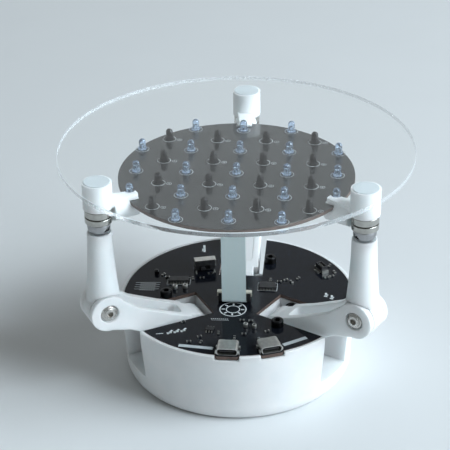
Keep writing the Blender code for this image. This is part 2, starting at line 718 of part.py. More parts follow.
def build():
    """Make every part."""
    base_shell()
    main_board()
    for side, angle in USB_ANGLES.items():
        usb_port(side, angle)
    for side, angle in ARMS.items():
        board_screw(side, angle)
        servo(side, angle)
        servo_screws(side, angle)
        servo_horn(side, angle)
        pivot_pin(side, angle)
        lower_link(side, angle)
        elbow_screws(side, angle)
        upper_link(side, angle)
        ball(side, angle)
        ball_magnets(side, angle)
        bracket(side, angle)
    power_switch()
    chips_and_headers()
    low = BASE_TOP + STAND_OFF
    ribbon_socket("ribbon_socket_lower", low, low + SOCKET_H, LOWER_ENTRY)
    high = SENSOR_TOP - BOARD_T - GAP
    ribbon_socket("ribbon_socket_upper", high - SOCKET_H, high, UPPER_ENTRY)
    ribbon_cable()
    sensor_board()
    clear_disc()


build()
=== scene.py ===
"""Looks of the ball-balancing table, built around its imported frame.

Sizes are in millimetres until a piece is made. An arm's own frame has +X out along the arm,
+Y along the tangent and +Z up.
"""

import json
from math import atan2, cos, hypot, pi, radians, sin, tan

import bmesh
import bpy
from mathutils import Matrix, Vector


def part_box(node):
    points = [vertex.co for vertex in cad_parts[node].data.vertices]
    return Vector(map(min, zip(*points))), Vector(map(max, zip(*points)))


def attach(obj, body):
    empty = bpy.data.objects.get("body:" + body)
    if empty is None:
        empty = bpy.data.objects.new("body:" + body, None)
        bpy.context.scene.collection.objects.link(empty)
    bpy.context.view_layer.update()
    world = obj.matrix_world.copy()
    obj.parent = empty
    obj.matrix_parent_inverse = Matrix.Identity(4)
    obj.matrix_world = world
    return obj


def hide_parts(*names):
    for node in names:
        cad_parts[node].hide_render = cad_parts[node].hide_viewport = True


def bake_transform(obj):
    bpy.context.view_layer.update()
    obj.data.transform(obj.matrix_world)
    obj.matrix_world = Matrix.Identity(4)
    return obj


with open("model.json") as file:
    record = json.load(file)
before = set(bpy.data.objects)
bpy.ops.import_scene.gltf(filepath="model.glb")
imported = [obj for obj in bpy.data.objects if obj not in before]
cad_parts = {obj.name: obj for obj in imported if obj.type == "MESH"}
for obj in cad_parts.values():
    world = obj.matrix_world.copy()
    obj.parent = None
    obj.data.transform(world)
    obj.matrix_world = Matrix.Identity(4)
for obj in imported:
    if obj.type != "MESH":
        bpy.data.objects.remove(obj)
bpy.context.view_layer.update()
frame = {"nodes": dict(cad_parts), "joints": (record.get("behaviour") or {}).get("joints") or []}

MM = 0.001
ARMS = {"rear": 90.0, "left": 210.0, "right": 330.0}
FINE, MEDIUM, SMALL = 192, 64, 32       # sides of round pieces, by their size


def low(node):
    """Lowest corner of a CAD node, in millimetres."""
    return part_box(node)[0] / MM


def high(node):
    """Highest corner of a CAD node, in millimetres."""
    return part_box(node)[1] / MM


def middle(node):
    """Middle of a CAD node's box, in millimetres."""
    return (low(node) + high(node)) / 2


def joint_place(name):
    """Place of a joint, in millimetres."""
    row = next(j for j in frame["joints"] if j["name"] == name)
    return Vector(row["pos_m"]) / MM


# Sizes that the CAD source holds too
GAP = 0.3
BOARD_T = 1.6
FOOT_R = 46.0
WALL_R = 49.9
FOOT_Z = 6.0
POCKET_R = 47.0
FLOOR_T = 3.0
SLOT_HALF = 9.75
SLOT_R = 16.0
SLOT_FLOOR = 10.0
CHANNEL_WALL = 1.2
HUB_R = 7.2
HUB_HALF = 5.2
ELBOW_R = 8.1
CHEEK_IN = 4.2
BARREL_HALF = 3.9
PIN_R = 1.5
SCREW_R = 1.9
CUP_RIM_R = 4.8
CUP_DEPTH = 3.2
CAP_LOW = 91.0
LED_PITCH = 21.3
LED_R = 1.5
LED_FLANGE_R = 1.9
LED_HEIGHT = 5.0
EMITTERS = 5                    # places on one side of their lattice
RECEIVERS = 4
BOARD_SCREW = (28.8, -12.6)
USB_ANGLES = {"left": 269.0, "right": 290.5}

# Sizes read from the frame
SHOULDER_R = joint_place("servo_rear").y
SHOULDER_Z = joint_place("servo_rear").z
JOINT_R = joint_place("elbow_rear").y
ELBOW_Z = joint_place("elbow_rear").z
BALL_Z = middle("ball_rear").z
BALL_R = (high("ball_rear").z - low("ball_rear").z) / 2
BASE_TOP = high("base_shell").z
RIM_R = high("base_shell").x
BOARD_R = high("sensor_board").x
MAIN_LOW = BASE_TOP - BOARD_T
SENSOR_LOW = low("sensor_board").z
SENSOR_TOP = SENSOR_LOW + BOARD_T
DISC_LOW = low("clear_disc").z
DISC_TOP = high("clear_disc").z
DISC_R = high("clear_disc").x
CAP_HIGH = high("bracket_rear").z
CAP_R = high("bracket_rear").y - JOINT_R
MAGNET_R = high("top_magnet_rear").x
FORK_HALF = high("lower_link_rear").x
LINK_LENGTH = hypot(JOINT_R - SHOULDER_R, ELBOW_Z - SHOULDER_Z)
LINK_ANGLE = atan2(ELBOW_Z - SHOULDER_Z, JOINT_R - SHOULDER_R)
LINK_TOP = high("upper_link_rear").z - ELBOW_Z


# ---------------- materials

class Look:
    """A Principled material with its nodes at hand."""

    def __init__(self, name, colour, roughness, metallic=0.0, **values):
        self.material = bpy.data.materials.new(name)
        self.material.use_nodes = True
        self.tree = self.material.node_tree
        self.shader = self.tree.nodes["Principled BSDF"]
        self.set("Base Color", (*colour, 1.0))
        self.set("Roughness", roughness)
        self.set("Metallic", metallic)
        for key, value in values.items():
            self.set(key.replace("_", " "), value)
        self.coordinates = self.node("ShaderNodeTexCoord").outputs["Object"]
        self.height = None

    def set(self, socket, value):
        """Constant value on one of the shader's sockets."""
        self.shader.inputs[socket].default_value = value

    def node(self, kind, **values):
        """New node with some of its input values."""
        made = self.tree.nodes.new(kind)
        for key, value in values.items():
            made.inputs[key].default_value = value
        return made

    def link(self, output, socket):
        """Link between two sockets."""
        self.tree.links.new(output, socket)

    def stretched(self, scale):
        """Object coordinates stretched along the axes."""
        mapping = self.node("ShaderNodeMapping", Scale=scale)
        self.link(self.coordinates, mapping.inputs["Vector"])
        return mapping.outputs["Vector"]

    def noise(self, size, detail=3.0, stretch=None):
        """Noise whose features are about the given size in millimetres."""
        made = self.node("ShaderNodeTexNoise", Scale=1 / (size * MM), Detail=detail)
        source = self.stretched(stretch) if stretch else self.coordinates
        self.link(source, made.inputs["Vector"])
        return made.outputs["Fac"]

    def spread(self, factor, start, end, low=0.3, high=0.7):
        """Factor mapped from one range to another."""
        made = self.tree.nodes.new("ShaderNodeMapRange")
        for key, value in (("From Min", low), ("From Max", high), ("To Min", start), ("To Max", end)):
            made.inputs[key].default_value = value
        self.link(factor, made.inputs["Value"])
        return made.outputs["Result"]

    def vary_roughness(self, factor, start, end):
        """Roughness that follows a factor."""
        self.link(self.spread(factor, start, end), self.shader.inputs["Roughness"])

    def vary_colour(self, factor, start, end, low=0.35, high=0.65):
        """Base colour that runs between two colours."""
        ramp = self.tree.nodes.new("ShaderNodeValToRGB")
        ramp.color_ramp.elements[0].position = low
        ramp.color_ramp.elements[1].position = high
        ramp.color_ramp.elements[0].color = (*start, 1.0)
        ramp.color_ramp.elements[1].color = (*end, 1.0)
        self.link(factor, ramp.inputs["Fac"])
        self.link(ramp.outputs["Color"], self.shader.inputs["Base Color"])

    def bump(self, factor, depth, strength=1.0):
        """Bump of some depth in millimetres, on top of any earlier one."""
        made = self.node("ShaderNodeBump", Strength=strength, Distance=depth * MM)
        self.link(factor, made.inputs["Height"])
        if self.height is not None:
            self.link(self.height, made.inputs["Normal"])
        self.height = made.outputs["Normal"]
        self.link(self.height, self.shader.inputs["Normal"])


def white_plastic():
    """Fine printed nylon: grain, faint clouding and a soft glow from within."""
    look = Look("white_plastic", (0.82, 0.84, 0.85), 0.5, Subsurface_Weight=0.7, Subsurface_Scale=0.005)
    look.set("Subsurface Radius", (0.9, 1.0, 1.0))
    look.set("Specular IOR Level", 0.4)
    look.vary_colour(look.noise(9.0), (0.81, 0.835, 0.845), (0.85, 0.86, 0.865))
    look.vary_roughness(look.noise(1.2), 0.42, 0.58)
    look.bump(look.noise(0.22, 4.0), 0.02, 0.6)
    look.bump(look.noise(3.0), 0.03, 0.3)
    return look.material


def solder_mask(name, dark, light, roughness, gloss):
    """Black solder mask over a fine glass weave, with a faint copper pattern below it."""
    look = Look(name, dark, roughness)
    look.set("Specular IOR Level", gloss)
    weave = look.node("ShaderNodeTexWave", Scale=pi / (10 * 0.45 * MM), Distortion=2.0)
    look.link(look.coordinates, weave.inputs["Vector"])
    look.vary_colour(look.noise(2.4, 2.0), dark, light)
    look.vary_roughness(look.noise(0.8), roughness - 0.04, roughness + 0.04)
    look.bump(weave.outputs["Fac"], 0.0003, 0.2)
    look.bump(look.noise(2.5), 0.001, 0.3)
    return look.material


def board_edge():
    """Cut edge of a glass-fibre board, with its layers."""
    look = Look("board_edge", (0.1, 0.065, 0.05), 0.6)
    layers = look.noise(0.5, 3.0, (0.2, 0.2, 2.5))
    look.vary_colour(layers, (0.05, 0.03, 0.025), (0.15, 0.1, 0.08))
    look.bump(layers, 0.03, 0.6)
    return look.material


def board_print(name, light):
    """Printing on a board."""
    look = Look(name, (light, light, light), 0.55)
    worn = (0.85 * light, 0.9 * light, 0.92 * light)
    look.vary_colour(look.noise(0.4), worn, (light, 1.04 * light, 1.05 * light))
    look.bump(look.noise(0.15), 0.01, 0.5)
    return look.material


def black_plastic(name="black_plastic", roughness=0.45):
    """Moulded black plastic with a fine grain."""
    look = Look(name, (0.014, 0.014, 0.015), roughness)
    look.vary_colour(look.noise(1.5), (0.01, 0.01, 0.011), (0.024, 0.024, 0.026))
    look.vary_roughness(look.noise(0.4), roughness - 0.08, roughness + 0.1)
    look.bump(look.noise(0.12, 4.0), 0.012, 0.6)
    return look.material


def pale_plastic(name, colour, roughness, cloud, grain):
    """Matt pale plastic: lowest and highest roughness, sizes of its clouding and grain."""
    look = Look(name, colour, sum(roughness) / 2)
    look.vary_roughness(look.noise(cloud), *roughness)
    look.bump(look.noise(grain), grain / 15, 0.5)
    return look.material


def metal(name, colour, rough, streaks=(1.0, 1.0, 8.0), spread=0.1):
    """Metal with fine streaks and a few smudges."""
    look = Look(name, colour, rough, 1.0)
    marks = look.noise(0.6, 4.0, streaks)
    darker = tuple(0.82 * c for c in colour)
    look.vary_colour(look.noise(2.0), darker, colour)
    look.vary_roughness(marks, max(rough - spread / 2, 0.02), rough + spread)
    look.bump(marks, 0.006, 0.35)
    return look.material


def ribbon_film():
    """Flat cable: pale film over parallel conductors."""
    look = Look("ribbon_film", (0.86, 1.0, 1.0), 0.32, Coat_Weight=0.25, Coat_Roughness=0.2)
    wires = look.node("ShaderNodeTexWave", Scale=pi / (10 * 0.5 * MM), Distortion=0.0)
    wires.bands_direction = "X"
    look.link(look.coordinates, wires.inputs["Vector"])
    look.vary_colour(wires.outputs["Fac"], (0.8, 0.98, 1.0), (0.88, 1.0, 1.0), 0.2, 0.8)
    look.bump(wires.outputs["Fac"], 0.01, 0.3)
    look.bump(look.noise(4.0), 0.08, 0.3)
    look.vary_roughness(look.noise(1.0), 0.26, 0.4)
    return look.material


def lets_lamps_through(look, tint):
    """Have the light of the lamps pass a clear solid instead of being blocked by it."""
    path = look.tree.nodes.new("ShaderNodeLightPath")
    clear = look.node("ShaderNodeBsdfTransparent", Color=(*tint, 1.0))
    mix = look.tree.nodes.new("ShaderNodeMixShader")
    look.link(path.outputs["Is Shadow Ray"], mix.inputs["Fac"])
    look.link(look.shader.outputs["BSDF"], mix.inputs[1])
    look.link(clear.outputs["BSDF"], mix.inputs[2])
    output = next(n for n in look.tree.nodes if n.type == "OUTPUT_MATERIAL")
    look.link(mix.outputs["Shader"], output.inputs["Surface"])


def clear_acrylic():
    """Polished clear sheet with faint handling marks."""
    look = Look("clear_acrylic", (0.985, 0.995, 0.995), 0.01, IOR=1.05, Transmission_Weight=1.0)
    look.set("Coat Weight", 1.0)
    look.set("Coat IOR", 1.27)
    look.set("Coat Roughness", 0.01)
    look.vary_roughness(look.noise(6.0), 0.0, 0.02)
    look.bump(look.noise(25.0), 0.01, 0.1)
    lets_lamps_through(look, (0.82, 0.83, 0.83))
    return look.material


def acrylic_edge(name, glow, alpha):
    """Satin rim of the clear sheet; the glow is painted light, standing for light that crossed the sheet."""
    look = Look(name, (0.75, 0.8, 0.83), 0.3, Alpha=alpha)
    look.set("Emission Color", (0.82, 0.92, 1.0, 1.0))
    look.set("Emission Strength", glow)
    look.vary_roughness(look.noise(1.5), 0.2, 0.4)
    look.bump(look.noise(3.0), 0.004, 0.3)
    lets_lamps_through(look, (0.8, 0.82, 0.82))
    return look.material


def clear_lens():
    """Slightly blue epoxy of an infrared emitter."""
    look = Look("clear_lens", (0.62, 0.76, 0.95), 0.03, IOR=1.5, Transmission_Weight=0.92)
    look.bump(look.noise(1.2), 0.02, 0.15)
    look.vary_roughness(look.noise(0.8), 0.02, 0.08)
    lets_lamps_through(look, (0.7, 0.78, 0.9))
    return look.material


def dark_lens():
    """Nearly black epoxy of an infrared receiver."""
    look = Look("dark_lens", (0.003, 0.003, 0.004), 0.1)
    look.vary_colour(look.noise(1.5), (0.002, 0.002, 0.003), (0.006, 0.005, 0.006))
    look.vary_roughness(look.noise(0.7), 0.08, 0.18)
    look.bump(look.noise(0.9), 0.01, 0.2)
    return look.material


def pale_floor():
    """Plain pale floor with a very faint unevenness."""
    look = Look("pale_floor", (0.72, 0.735, 0.745), 0.6)
    look.set("Specular IOR Level", 0.25)
    look.vary_colour(look.noise(60.0), (0.715, 0.73, 0.74), (0.725, 0.74, 0.75))
    look.bump(look.noise(1.0), 0.01, 0.2)
    return look.material


WHITE = white_plastic()
MASK = solder_mask("solder_mask", (0.0045, 0.0055, 0.0085), (0.0075, 0.009, 0.0135), 0.12, 0.13)
UPPER_MASK = solder_mask("upper_solder_mask", (0.014, 0.0145, 0.015), (0.02, 0.0205, 0.021), 0.1, 0.6)
EDGE = board_edge()
PRINT = board_print("print_white", 0.78)
FAINT_PRINT = board_print("print_faint", 0.36)
BLACK = black_plastic()
CREAM = pale_plastic("cream_plastic", (0.75, 0.72, 0.62), (0.38, 0.52), 0.4, 0.15)
SERVO = black_plastic("servo_plastic", 0.3)
STEEL = metal("steel", (0.6, 0.58, 0.55), 0.26)
TIN = metal("tin_plate", (0.72, 0.71, 0.68), 0.36, (1.0, 1.0, 1.0))
CHROME = metal("chrome", (0.42, 0.42, 0.43), 0.04, (1.0, 1.0, 1.0), 0.04)
NICKEL = metal("nickel", (0.5, 0.49, 0.46), 0.14, (1.0, 1.0, 10.0), 0.08)
BLACK_STEEL = metal("black_steel", (0.03, 0.03, 0.032), 0.34, (1.0, 1.0, 1.0))
RIBBON = ribbon_film()
ACRYLIC = clear_acrylic()
PALE_EDGE = acrylic_edge("acrylic_edge", 0.0, 0.3)
# rim faces with a painted glow, standing for light that crossed the sheet
PAINTED_GLOW_EDGE = acrylic_edge("acrylic_edge_painted_glow", 0.35, 0.75)
PAD = pale_plastic("adhesive_pad", (0.5, 0.54, 0.56), (0.5, 0.7), 0.6, 0.3)
CLEAR = clear_lens()
DARK = dark_lens()
FLOOR = pale_floor()


# ---------------- shapes

def new():
    """Empty bmesh."""
    return bmesh.new()


def arm_frame(angle, radius=0.0, height=0.0):
    """Frame in metres whose X axis points outwards at an azimuth; radius and height in millimetres."""
    shift = Matrix.Translation(Vector((radius, 0.0, height)) * MM)
    return Matrix.Rotation(radians(angle), 4, "Z") @ shift


def spot(x, y, z, angle):
    """Frame at a point, turned about the vertical, in millimetres."""
    return Matrix.Translation((x, y, z)) @ Matrix.Rotation(radians(angle), 4, "Z")


def rounded(corners, closed=True, steps=5):
    """Outline whose (x, y, radius) corners are turned into arcs."""
    points = []
    count = len(corners)
    for i, (x, y, radius) in enumerate(corners):
        here = Vector((x, y))
        if radius <= 0 or (not closed and i in (0, count - 1)):
            points.append(here)
            continue
        before = (Vector(corners[i - 1][:2]) - here).normalized()
        after = (Vector(corners[(i + 1) % count][:2]) - here).normalized()
        half = before.angle(after) / 2
        centre = here + (before + after).normalized() * (radius / sin(half))
        start = here + before * (radius / tan(half)) - centre
        end = here + after * (radius / tan(half)) - centre
        turn = atan2(start.x * end.y - start.y * end.x, start.dot(end))
        for k in range(steps + 1):
            a = turn * k / steps
            points.append(centre + Vector((start.x * cos(a) - start.y * sin(a),
                                           start.x * sin(a) + start.y * cos(a))))
    return points


def arc(centre, radius, start, end, steps):
    """Points on an arc, angles in degrees."""
    angles = [radians(start + (end - start) * i / steps) for i in range(steps + 1)]
    return [(centre[0] + radius * cos(a), centre[1] + radius * sin(a)) for a in angles]


def add_box(bm, low_corner, high_corner, turn=None):
    """Box between two corners, turned about the origin when a matrix is given."""
    low_corner, high_corner = Vector(low_corner), Vector(high_corner)
    size = Matrix.Diagonal((*(high_corner - low_corner), 1.0))
    matrix = Matrix.Translation((low_corner + high_corner) / 2) @ size
    bmesh.ops.create_cube(bm, size=1.0, matrix=(turn or Matrix.Identity(4)) @ matrix)
    return bm


def add_rod(bm, radius, start, end, segments=SMALL, radius_end=None):
    """Cylinder or cone from one point to another."""
    start, end = Vector(start), Vector(end)
    run = end - start
    turn = run.to_track_quat("Z", "Y").to_matrix().to_4x4()
    bmesh.ops.create_cone(
        bm, cap_ends=True, segments=segments, radius1=radius,
        radius2=radius if radius_end is None else radius_end,
        depth=run.length, matrix=Matrix.Translation((start + end) / 2) @ turn)
    return bm


def add_turned(bm, profile, centre=(0.0, 0.0), segments=SMALL, closed=False):
    """Spin (radius, height) points about a vertical axis; an open profile runs from axis to axis."""
    before = set(bm.verts)
    first = [bm.verts.new((r + centre[0], centre[1], z)) for r, z in profile]
    after = first[1:] + first[:1] if closed else first[1:]
    edges = [bm.edges.new(pair) for pair in zip(first, after)]
    bmesh.ops.spin(
        bm, geom=first + edges, cent=(*centre, 0.0), axis=(0, 0, 1),
        angle=2 * pi, steps=segments, use_merge=True)
    made = [v for v in bm.verts if v not in before]
    bmesh.ops.remove_doubles(bm, verts=made, dist=0.0005)
    return bm


def add_plate(bm, outline, low_z, high_z, turn=None):
    """Flat plate with an outline in the X-Y plane, between two heights."""
    turn = turn or Matrix.Identity(4)
    corners = [bm.verts.new(turn @ Vector((x, y, low_z))) for x, y in outline]
    face = bm.faces.new(corners)
    grown = bmesh.ops.extrude_face_region(bm, geom=[face])
    moved = [v for v in grown["geom"] if isinstance(v, bmesh.types.BMVert)]
    up = turn.to_3x3() @ Vector((0, 0, high_z - low_z))
    bmesh.ops.translate(bm, verts=moved, vec=up)
    return bm


def box(*shape):
    """One box as a bmesh of its own."""
    return add_box(new(), *shape)


def rod(*shape):
    """One cylinder or cone as a bmesh of its own."""
    return add_rod(new(), *shape)


def turned(*shape, **more):
    """One turned solid as a bmesh of its own."""
    return add_turned(new(), *shape, **more)


def plate(*shape):
    """One plate as a bmesh of its own."""
    return add_plate(new(), *shape)


def loose(bm, place=None, name="tool"):
    """Object from a bmesh in millimetres, which rides on nothing yet."""
    bmesh.ops.scale(bm, vec=(MM, MM, MM), verts=bm.verts)
    bmesh.ops.recalc_face_normals(bm, faces=bm.faces)
    mesh = bpy.data.meshes.new(name)
    bm.to_mesh(mesh)
    bm.free()
    item = bpy.data.objects.new(name, mesh)
    item.matrix_world = place or Matrix.Identity(4)
    bpy.context.scene.collection.objects.link(item)
    return item


def bake(item):
    """Turn the modifiers of a piece into its mesh."""
    graph = bpy.context.evaluated_depsgraph_get()
    mesh = bpy.data.meshes.new_from_object(item.evaluated_get(graph))
    item.modifiers.clear()
    item.data = mesh


def combine(item, *steps):
    """Cut ("-") and join ("+") a piece with others, each step (sign, bmesh or object, matrix)."""
    tools = []
    for sign, shape, matrix in steps:
        tool = shape if isinstance(shape, bpy.types.Object) else loose(shape, matrix)
        modifier = item.modifiers.new("combine", "BOOLEAN")
        modifier.operation = "DIFFERENCE" if sign == "-" else "UNION"
        modifier.solver = "EXACT"
        modifier.object = tool
        tools.append(tool)
    bpy.context.view_layer.update()
    bake(item)
    for tool in tools:
        bpy.data.objects.remove(tool, do_unlink=True)


def soften(item, width, segments=2, angle=35):
    """Round the edges of a piece, width in millimetres."""
    modifier = item.modifiers.new("soften", "BEVEL")
    modifier.width = width * MM
    modifier.segments = segments
    modifier.limit_method = "ANGLE"
    modifier.angle_limit = radians(angle)
    modifier.use_clamp_overlap = True
    modifier.harden_normals = False
    bpy.context.view_layer.update()
    bake(item)


def finish(item, name, looks, body, slot, *nodes, angle=40):
    """Name, paint and mount a piece."""
    item.name = name
    item.data.name = name
    item.data.materials.clear()
    for look in looks if isinstance(looks, (list, tuple)) else [looks]:
        item.data.materials.append(look)
    item.data.shade_smooth()
    item.data.set_sharp_from_angle(angle=radians(angle))
    normals = item.modifiers.new("normals", "WEIGHTED_NORMAL")
    normals.keep_sharp = True
    if body is not None:
        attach(item, body)
    if nodes:
        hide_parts(*nodes)
    return item


def paint_sides(item):
    """Give the upright faces of a board its second material."""
    for face in item.data.polygons:
        if abs(face.normal.z) < 0.5:
            face.material_index = 1


# ---------------- base

RIM_ROUND = 0.35                # rounding of the base's top rim
BOARD_HOLE_R = 1.65
SERVO_LEDGES = ((2.8, 6.4), (29.8, 33.4))   # from and to, out along the arm
PAST = 10                       # how far a cutting piece reaches past the surface


def shell_profile():
    """Outline of the base, down its outer side from the rim to the underside."""
    steps = 8
    crown = BASE_TOP - RIM_ROUND
    wall = []
    for i in range(steps + 1):
        z = crown - i / steps * (crown - FOOT_Z)
        rise = (z - FOOT_Z) / (BASE_TOP - FOOT_Z)
        wall.append((WALL_R + (RIM_R - WALL_R) * rise * rise * (3 - 2 * rise), z))
    top = arc((RIM_R - RIM_ROUND, crown), RIM_ROUND, 90, 15, 3)
    foot = []
    for i in range(1, steps + 1):
        a = radians(90 * i / steps)
        foot.append((FOOT_R + (WALL_R - FOOT_R) * cos(a), FOOT_Z - FOOT_Z * sin(a)))
    return [(0, BASE_TOP)] + top + wall + foot + [(0, 0)]


def radial_block(inner, half, low_z, high_z):
    """Block along an arm that reaches past the wall."""
    return box((inner, -half, low_z), (RIM_R + PAST, half, high_z))


def base_pocket():
    """Room inside the base, around its channel walls, screw posts and servo ledges."""
    pocket = loose(rod(POCKET_R, (0, 0, FLOOR_T), (0, 0, BASE_TOP + PAST), FINE))
    kept_top = BASE_TOP + PAST + 2
    steps = []
    for angle in ARMS.values():
        place = arm_frame(angle)
        walls = radial_block(SLOT_R - CHANNEL_WALL, SLOT_HALF + CHANNEL_WALL, -1, kept_top)
        steps.append(("-", walls, place))
        steps.append(("-", rod(3.0, (*BOARD_SCREW, -1), (*BOARD_SCREW, kept_top)), place))
        for near, far in SERVO_LEDGES:
            ledge = box((near, 18.2, -1), (far, 21.5, SHOULDER_Z + 5.5))
            steps.append(("-", ledge, place))
    combine(pocket, *steps)
    return pocket


def shoulder_rod(radius, start, end):
    """Rod along an arm's shoulder axis."""
    return rod(radius, (SHOULDER_R, start, SHOULDER_Z), (SHOULDER_R, end, SHOULDER_Z))


def pivot_steps(place):
    """Pin boss on one wall of a channel and the servo's window in the other."""
    return [("+", shoulder_rod(4.4, -SLOT_HALF - 0.8, -HUB_HALF - 0.6), place),
            ("-", shoulder_rod(PIN_R + 0.2, -15, -4), place),
            ("-", shoulder_rod(6.3, 8, 13), place)]


def base_shell():
    """White base with its arm channels, posts and board seat."""
    shell = loose(turned(shell_profile(), segments=FINE))
    combine(shell, ("-", base_pocket(), None))
    seat, above = BASE_TOP - BOARD_T - GAP, BASE_TOP + 5
    steps = [("-", rod(BOARD_R + GAP, (0, 0, seat), (0, 0, above), FINE), None)]
    for angle in ARMS.values():
        place = arm_frame(angle)
        steps.append(("-", radial_block(SLOT_R, SLOT_HALF, SLOT_FLOOR, BASE_TOP + 20), place))
        steps += pivot_steps(place)
        hole = rod(BOARD_HOLE_R, (*BOARD_SCREW, 23.0), (*BOARD_SCREW, above), 20)
        steps.append(("-", hole, place))
    for angle in USB_ANGLES.values():
        notch = box((45.0, -5.2, seat), (60.0, 5.2, above))
        steps.append(("-", notch, arm_frame(angle)))
    combine(shell, *steps)
    soften(shell, 0.3)
    finish(shell, "base", WHITE, "base", "white_plastic", "base_shell")


def main_board():
    """Lower board with its slots, port tabs and screw holes."""
    board = loose(rod(BOARD_R, (0, 0, MAIN_LOW), (0, 0, BASE_TOP), FINE))
    tab_in, tab_out, half = 44.0, BOARD_R + 1.0, 4.8
    tab = rounded([(tab_in, -half, 0), (tab_out, -half, 1.0), (tab_out, half, 1.0), (tab_in, half, 0)])
    steps = []
    for angle in USB_ANGLES.values():
        steps.append(("+", plate(tab, MAIN_LOW, BASE_TOP), arm_frame(angle)))
    below, above = MAIN_LOW - 3, BASE_TOP + 3
    for angle in ARMS.values():
        place = arm_frame(angle)
        steps.append(("-", radial_block(SLOT_R, SLOT_HALF, below, above), place))
        hole = rod(BOARD_HOLE_R, (*BOARD_SCREW, below), (*BOARD_SCREW, above), 20)
        steps.append(("-", hole, place))
    combine(board, *steps)
    soften(board, 0.08, 1)
    finish(board, "main_board_plate", (MASK, EDGE), "base", "black_board", "main_board")
    paint_sides(board)


# ---------------- printing on the boards

INK_LOW = 0.01                  # heights of the ink over its board
INK_HIGH = 0.05
ROUND_MARK = (-1.2, -13.4)
FRONT_MARKS = ((-26.4, -33.4), (-23.6, -32.4), (-20.8, -31.4))
SIDE_MARKS = ((38.6, 0.9), (41.2, -0.9))
CHIP_FRAMES = ((-27.0, 9.5, 10.2, 6.4), (12.6, 6.4, 8.6, 6.6))     # x, y, length, width
LIGHT_STRIPS = ((-14.4, -44.2, 14.6, 2.0, -6.5), (26.6, -37.5, 11.4, 2.0, 34))


def add_ring(bm, centre, inner, outer, board_top, segments=MEDIUM):
    """Ring printed on a board."""
    low_z, high_z = board_top + INK_LOW, board_top + INK_HIGH
    profile = [(inner, low_z), (outer, low_z), (outer, high_z), (inner, high_z)]
    add_turned(bm, profile, centre, segments, closed=True)


def add_bars(bm, *bars):
    """Bars printed on the lower board, each (x, y, length, width, angle)."""
    for x, y, length, width, angle in bars:
        half_x, half_y = length / 2, width / 2
        low_corner = (-half_x, -half_y, BASE_TOP + INK_LOW)
        add_box(bm, low_corner, (half_x, half_y, BASE_TOP + INK_HIGH), spot(x, y, 0, angle))


def add_round_mark(bm):
    """Generic round mark: two rings with short spokes between them."""
    add_ring(bm, ROUND_MARK, 5.4, 5.9, BASE_TOP)
    add_ring(bm, ROUND_MARK, 2.7, 3.1, BASE_TOP)
    reach = 4.2
    for angle in range(0, 360, 45):
        x = ROUND_MARK[0] + reach * cos(radians(angle))
        y = ROUND_MARK[1] + reach * sin(radians(angle))
        add_bars(bm, (x, y, 1.5, 0.7, angle))


def main_board_print():
    """Generic printing on the lower board: a round mark, bars, small squares and frames."""
    bm = new()
    add_round_mark(bm)
    for x, y in FRONT_MARKS:
        add_bars(bm, (x, y, 3.6, 0.9, 62), (x - 0.2, y - 0.5, 2.2, 0.7, 8))
    add_bars(bm, (-30.6, -34.8, 3.0, 0.35, 12))
    for x, y in SIDE_MARKS:
        add_bars(bm, (x, y, 3.4, 0.9, 95), (x, y - 0.5, 2.2, 0.7, 40))
    for row in range(4):
        y = 7.4 - 1.9 * row
        add_bars(bm, (-40.6, y, 11.0, 0.16, 4))
        for k in range(7):
            add_bars(bm, (-43.4 + k, y - 0.8, 0.5, 0.5, 4))
    add_bars(bm, (-18.4, 39.5, 1.0, 6.4, 6), (-18.9, 38.2, 0.9, 2.4, 6))
    for k in range(9):
        x = -9.8 + 0.85 * k
        add_bars(bm, (x, -21.6, 0.45, 0.5, 0), (x + 0.4, -22.6, 0.5, 0.22, 0))
    line = 0.16
    for x, y, length, width in CHIP_FRAMES:
        for side in (-0.5, 0.5):
            add_bars(bm, (x, y + side * width, length, line, 0), (x + side * length, y, line, width, 0))
    finish(loose(bm), "main_board_print", PRINT, "base", "black_board")
    strips = new()
    add_bars(strips, *LIGHT_STRIPS)
    finish(loose(strips), "light_strips", PAD, "base", "white_plastic")


def lattice(count):
    """Places on a square lattice that fall on the sensor board."""
    places = []
    for i in range(count):
        for j in range(count):
            x = (i - (count - 1) / 2) * LED_PITCH
            y = (j - (count - 1) / 2) * LED_PITCH
            if hypot(x, y) < BOARD_R - LED_FLANGE_R:
                places.append((x, y))
    return places


def sensor_board_print():
    """Ring round each emitter and receiver, and a small dot in a ring beside each receiver."""
    bm = new()
    for count in (EMITTERS, RECEIVERS):
        for place in lattice(count):
            add_ring(bm, place, 2.75, 3.0, SENSOR_TOP, 40)
    for x, y in lattice(RECEIVERS):
        beside = (x + 4.6, y - 0.6)
        add_ring(bm, beside, 0.95, 1.15, SENSOR_TOP, 20)
        add_ring(bm, beside, 0.1, 0.35, SENSOR_TOP, 12)
    finish(loose(bm), "sensor_board_print", FAINT_PRINT, "platform", "black_board")


# ---------------- small parts on the lower board

PORT_WIDE, PORT_HIGH, PORT_DEEP, PORT_WALL = 8.9, 3.2, 7.4, 0.3
PORT_MOUTH = BOARD_R + 0.3
PORT_BACK = PORT_MOUTH - PORT_DEEP
PORT_LOW = BASE_TOP + 0.1
PORT_MID = PORT_LOW + PORT_HIGH / 2
ALONG_X = Matrix(((0, 0, 1, 0), (1, 0, 0, 0), (0, 1, 0, 0), (0, 0, 0, 1)))


def pill(grow, start, end):
    """Bar along the X axis with a port's rounded section, grown by some amount."""
    half_w, half_h = PORT_WIDE / 2 + grow, PORT_HIGH / 2 + grow
    corners = ((-half_w, -half_h), (half_w, -half_h), (half_w, half_h), (-half_w, half_h))
    outline = rounded([(x, PORT_MID + y, 1.3 + grow) for x, y in corners])
    return plate(outline, start, end, ALONG_X)


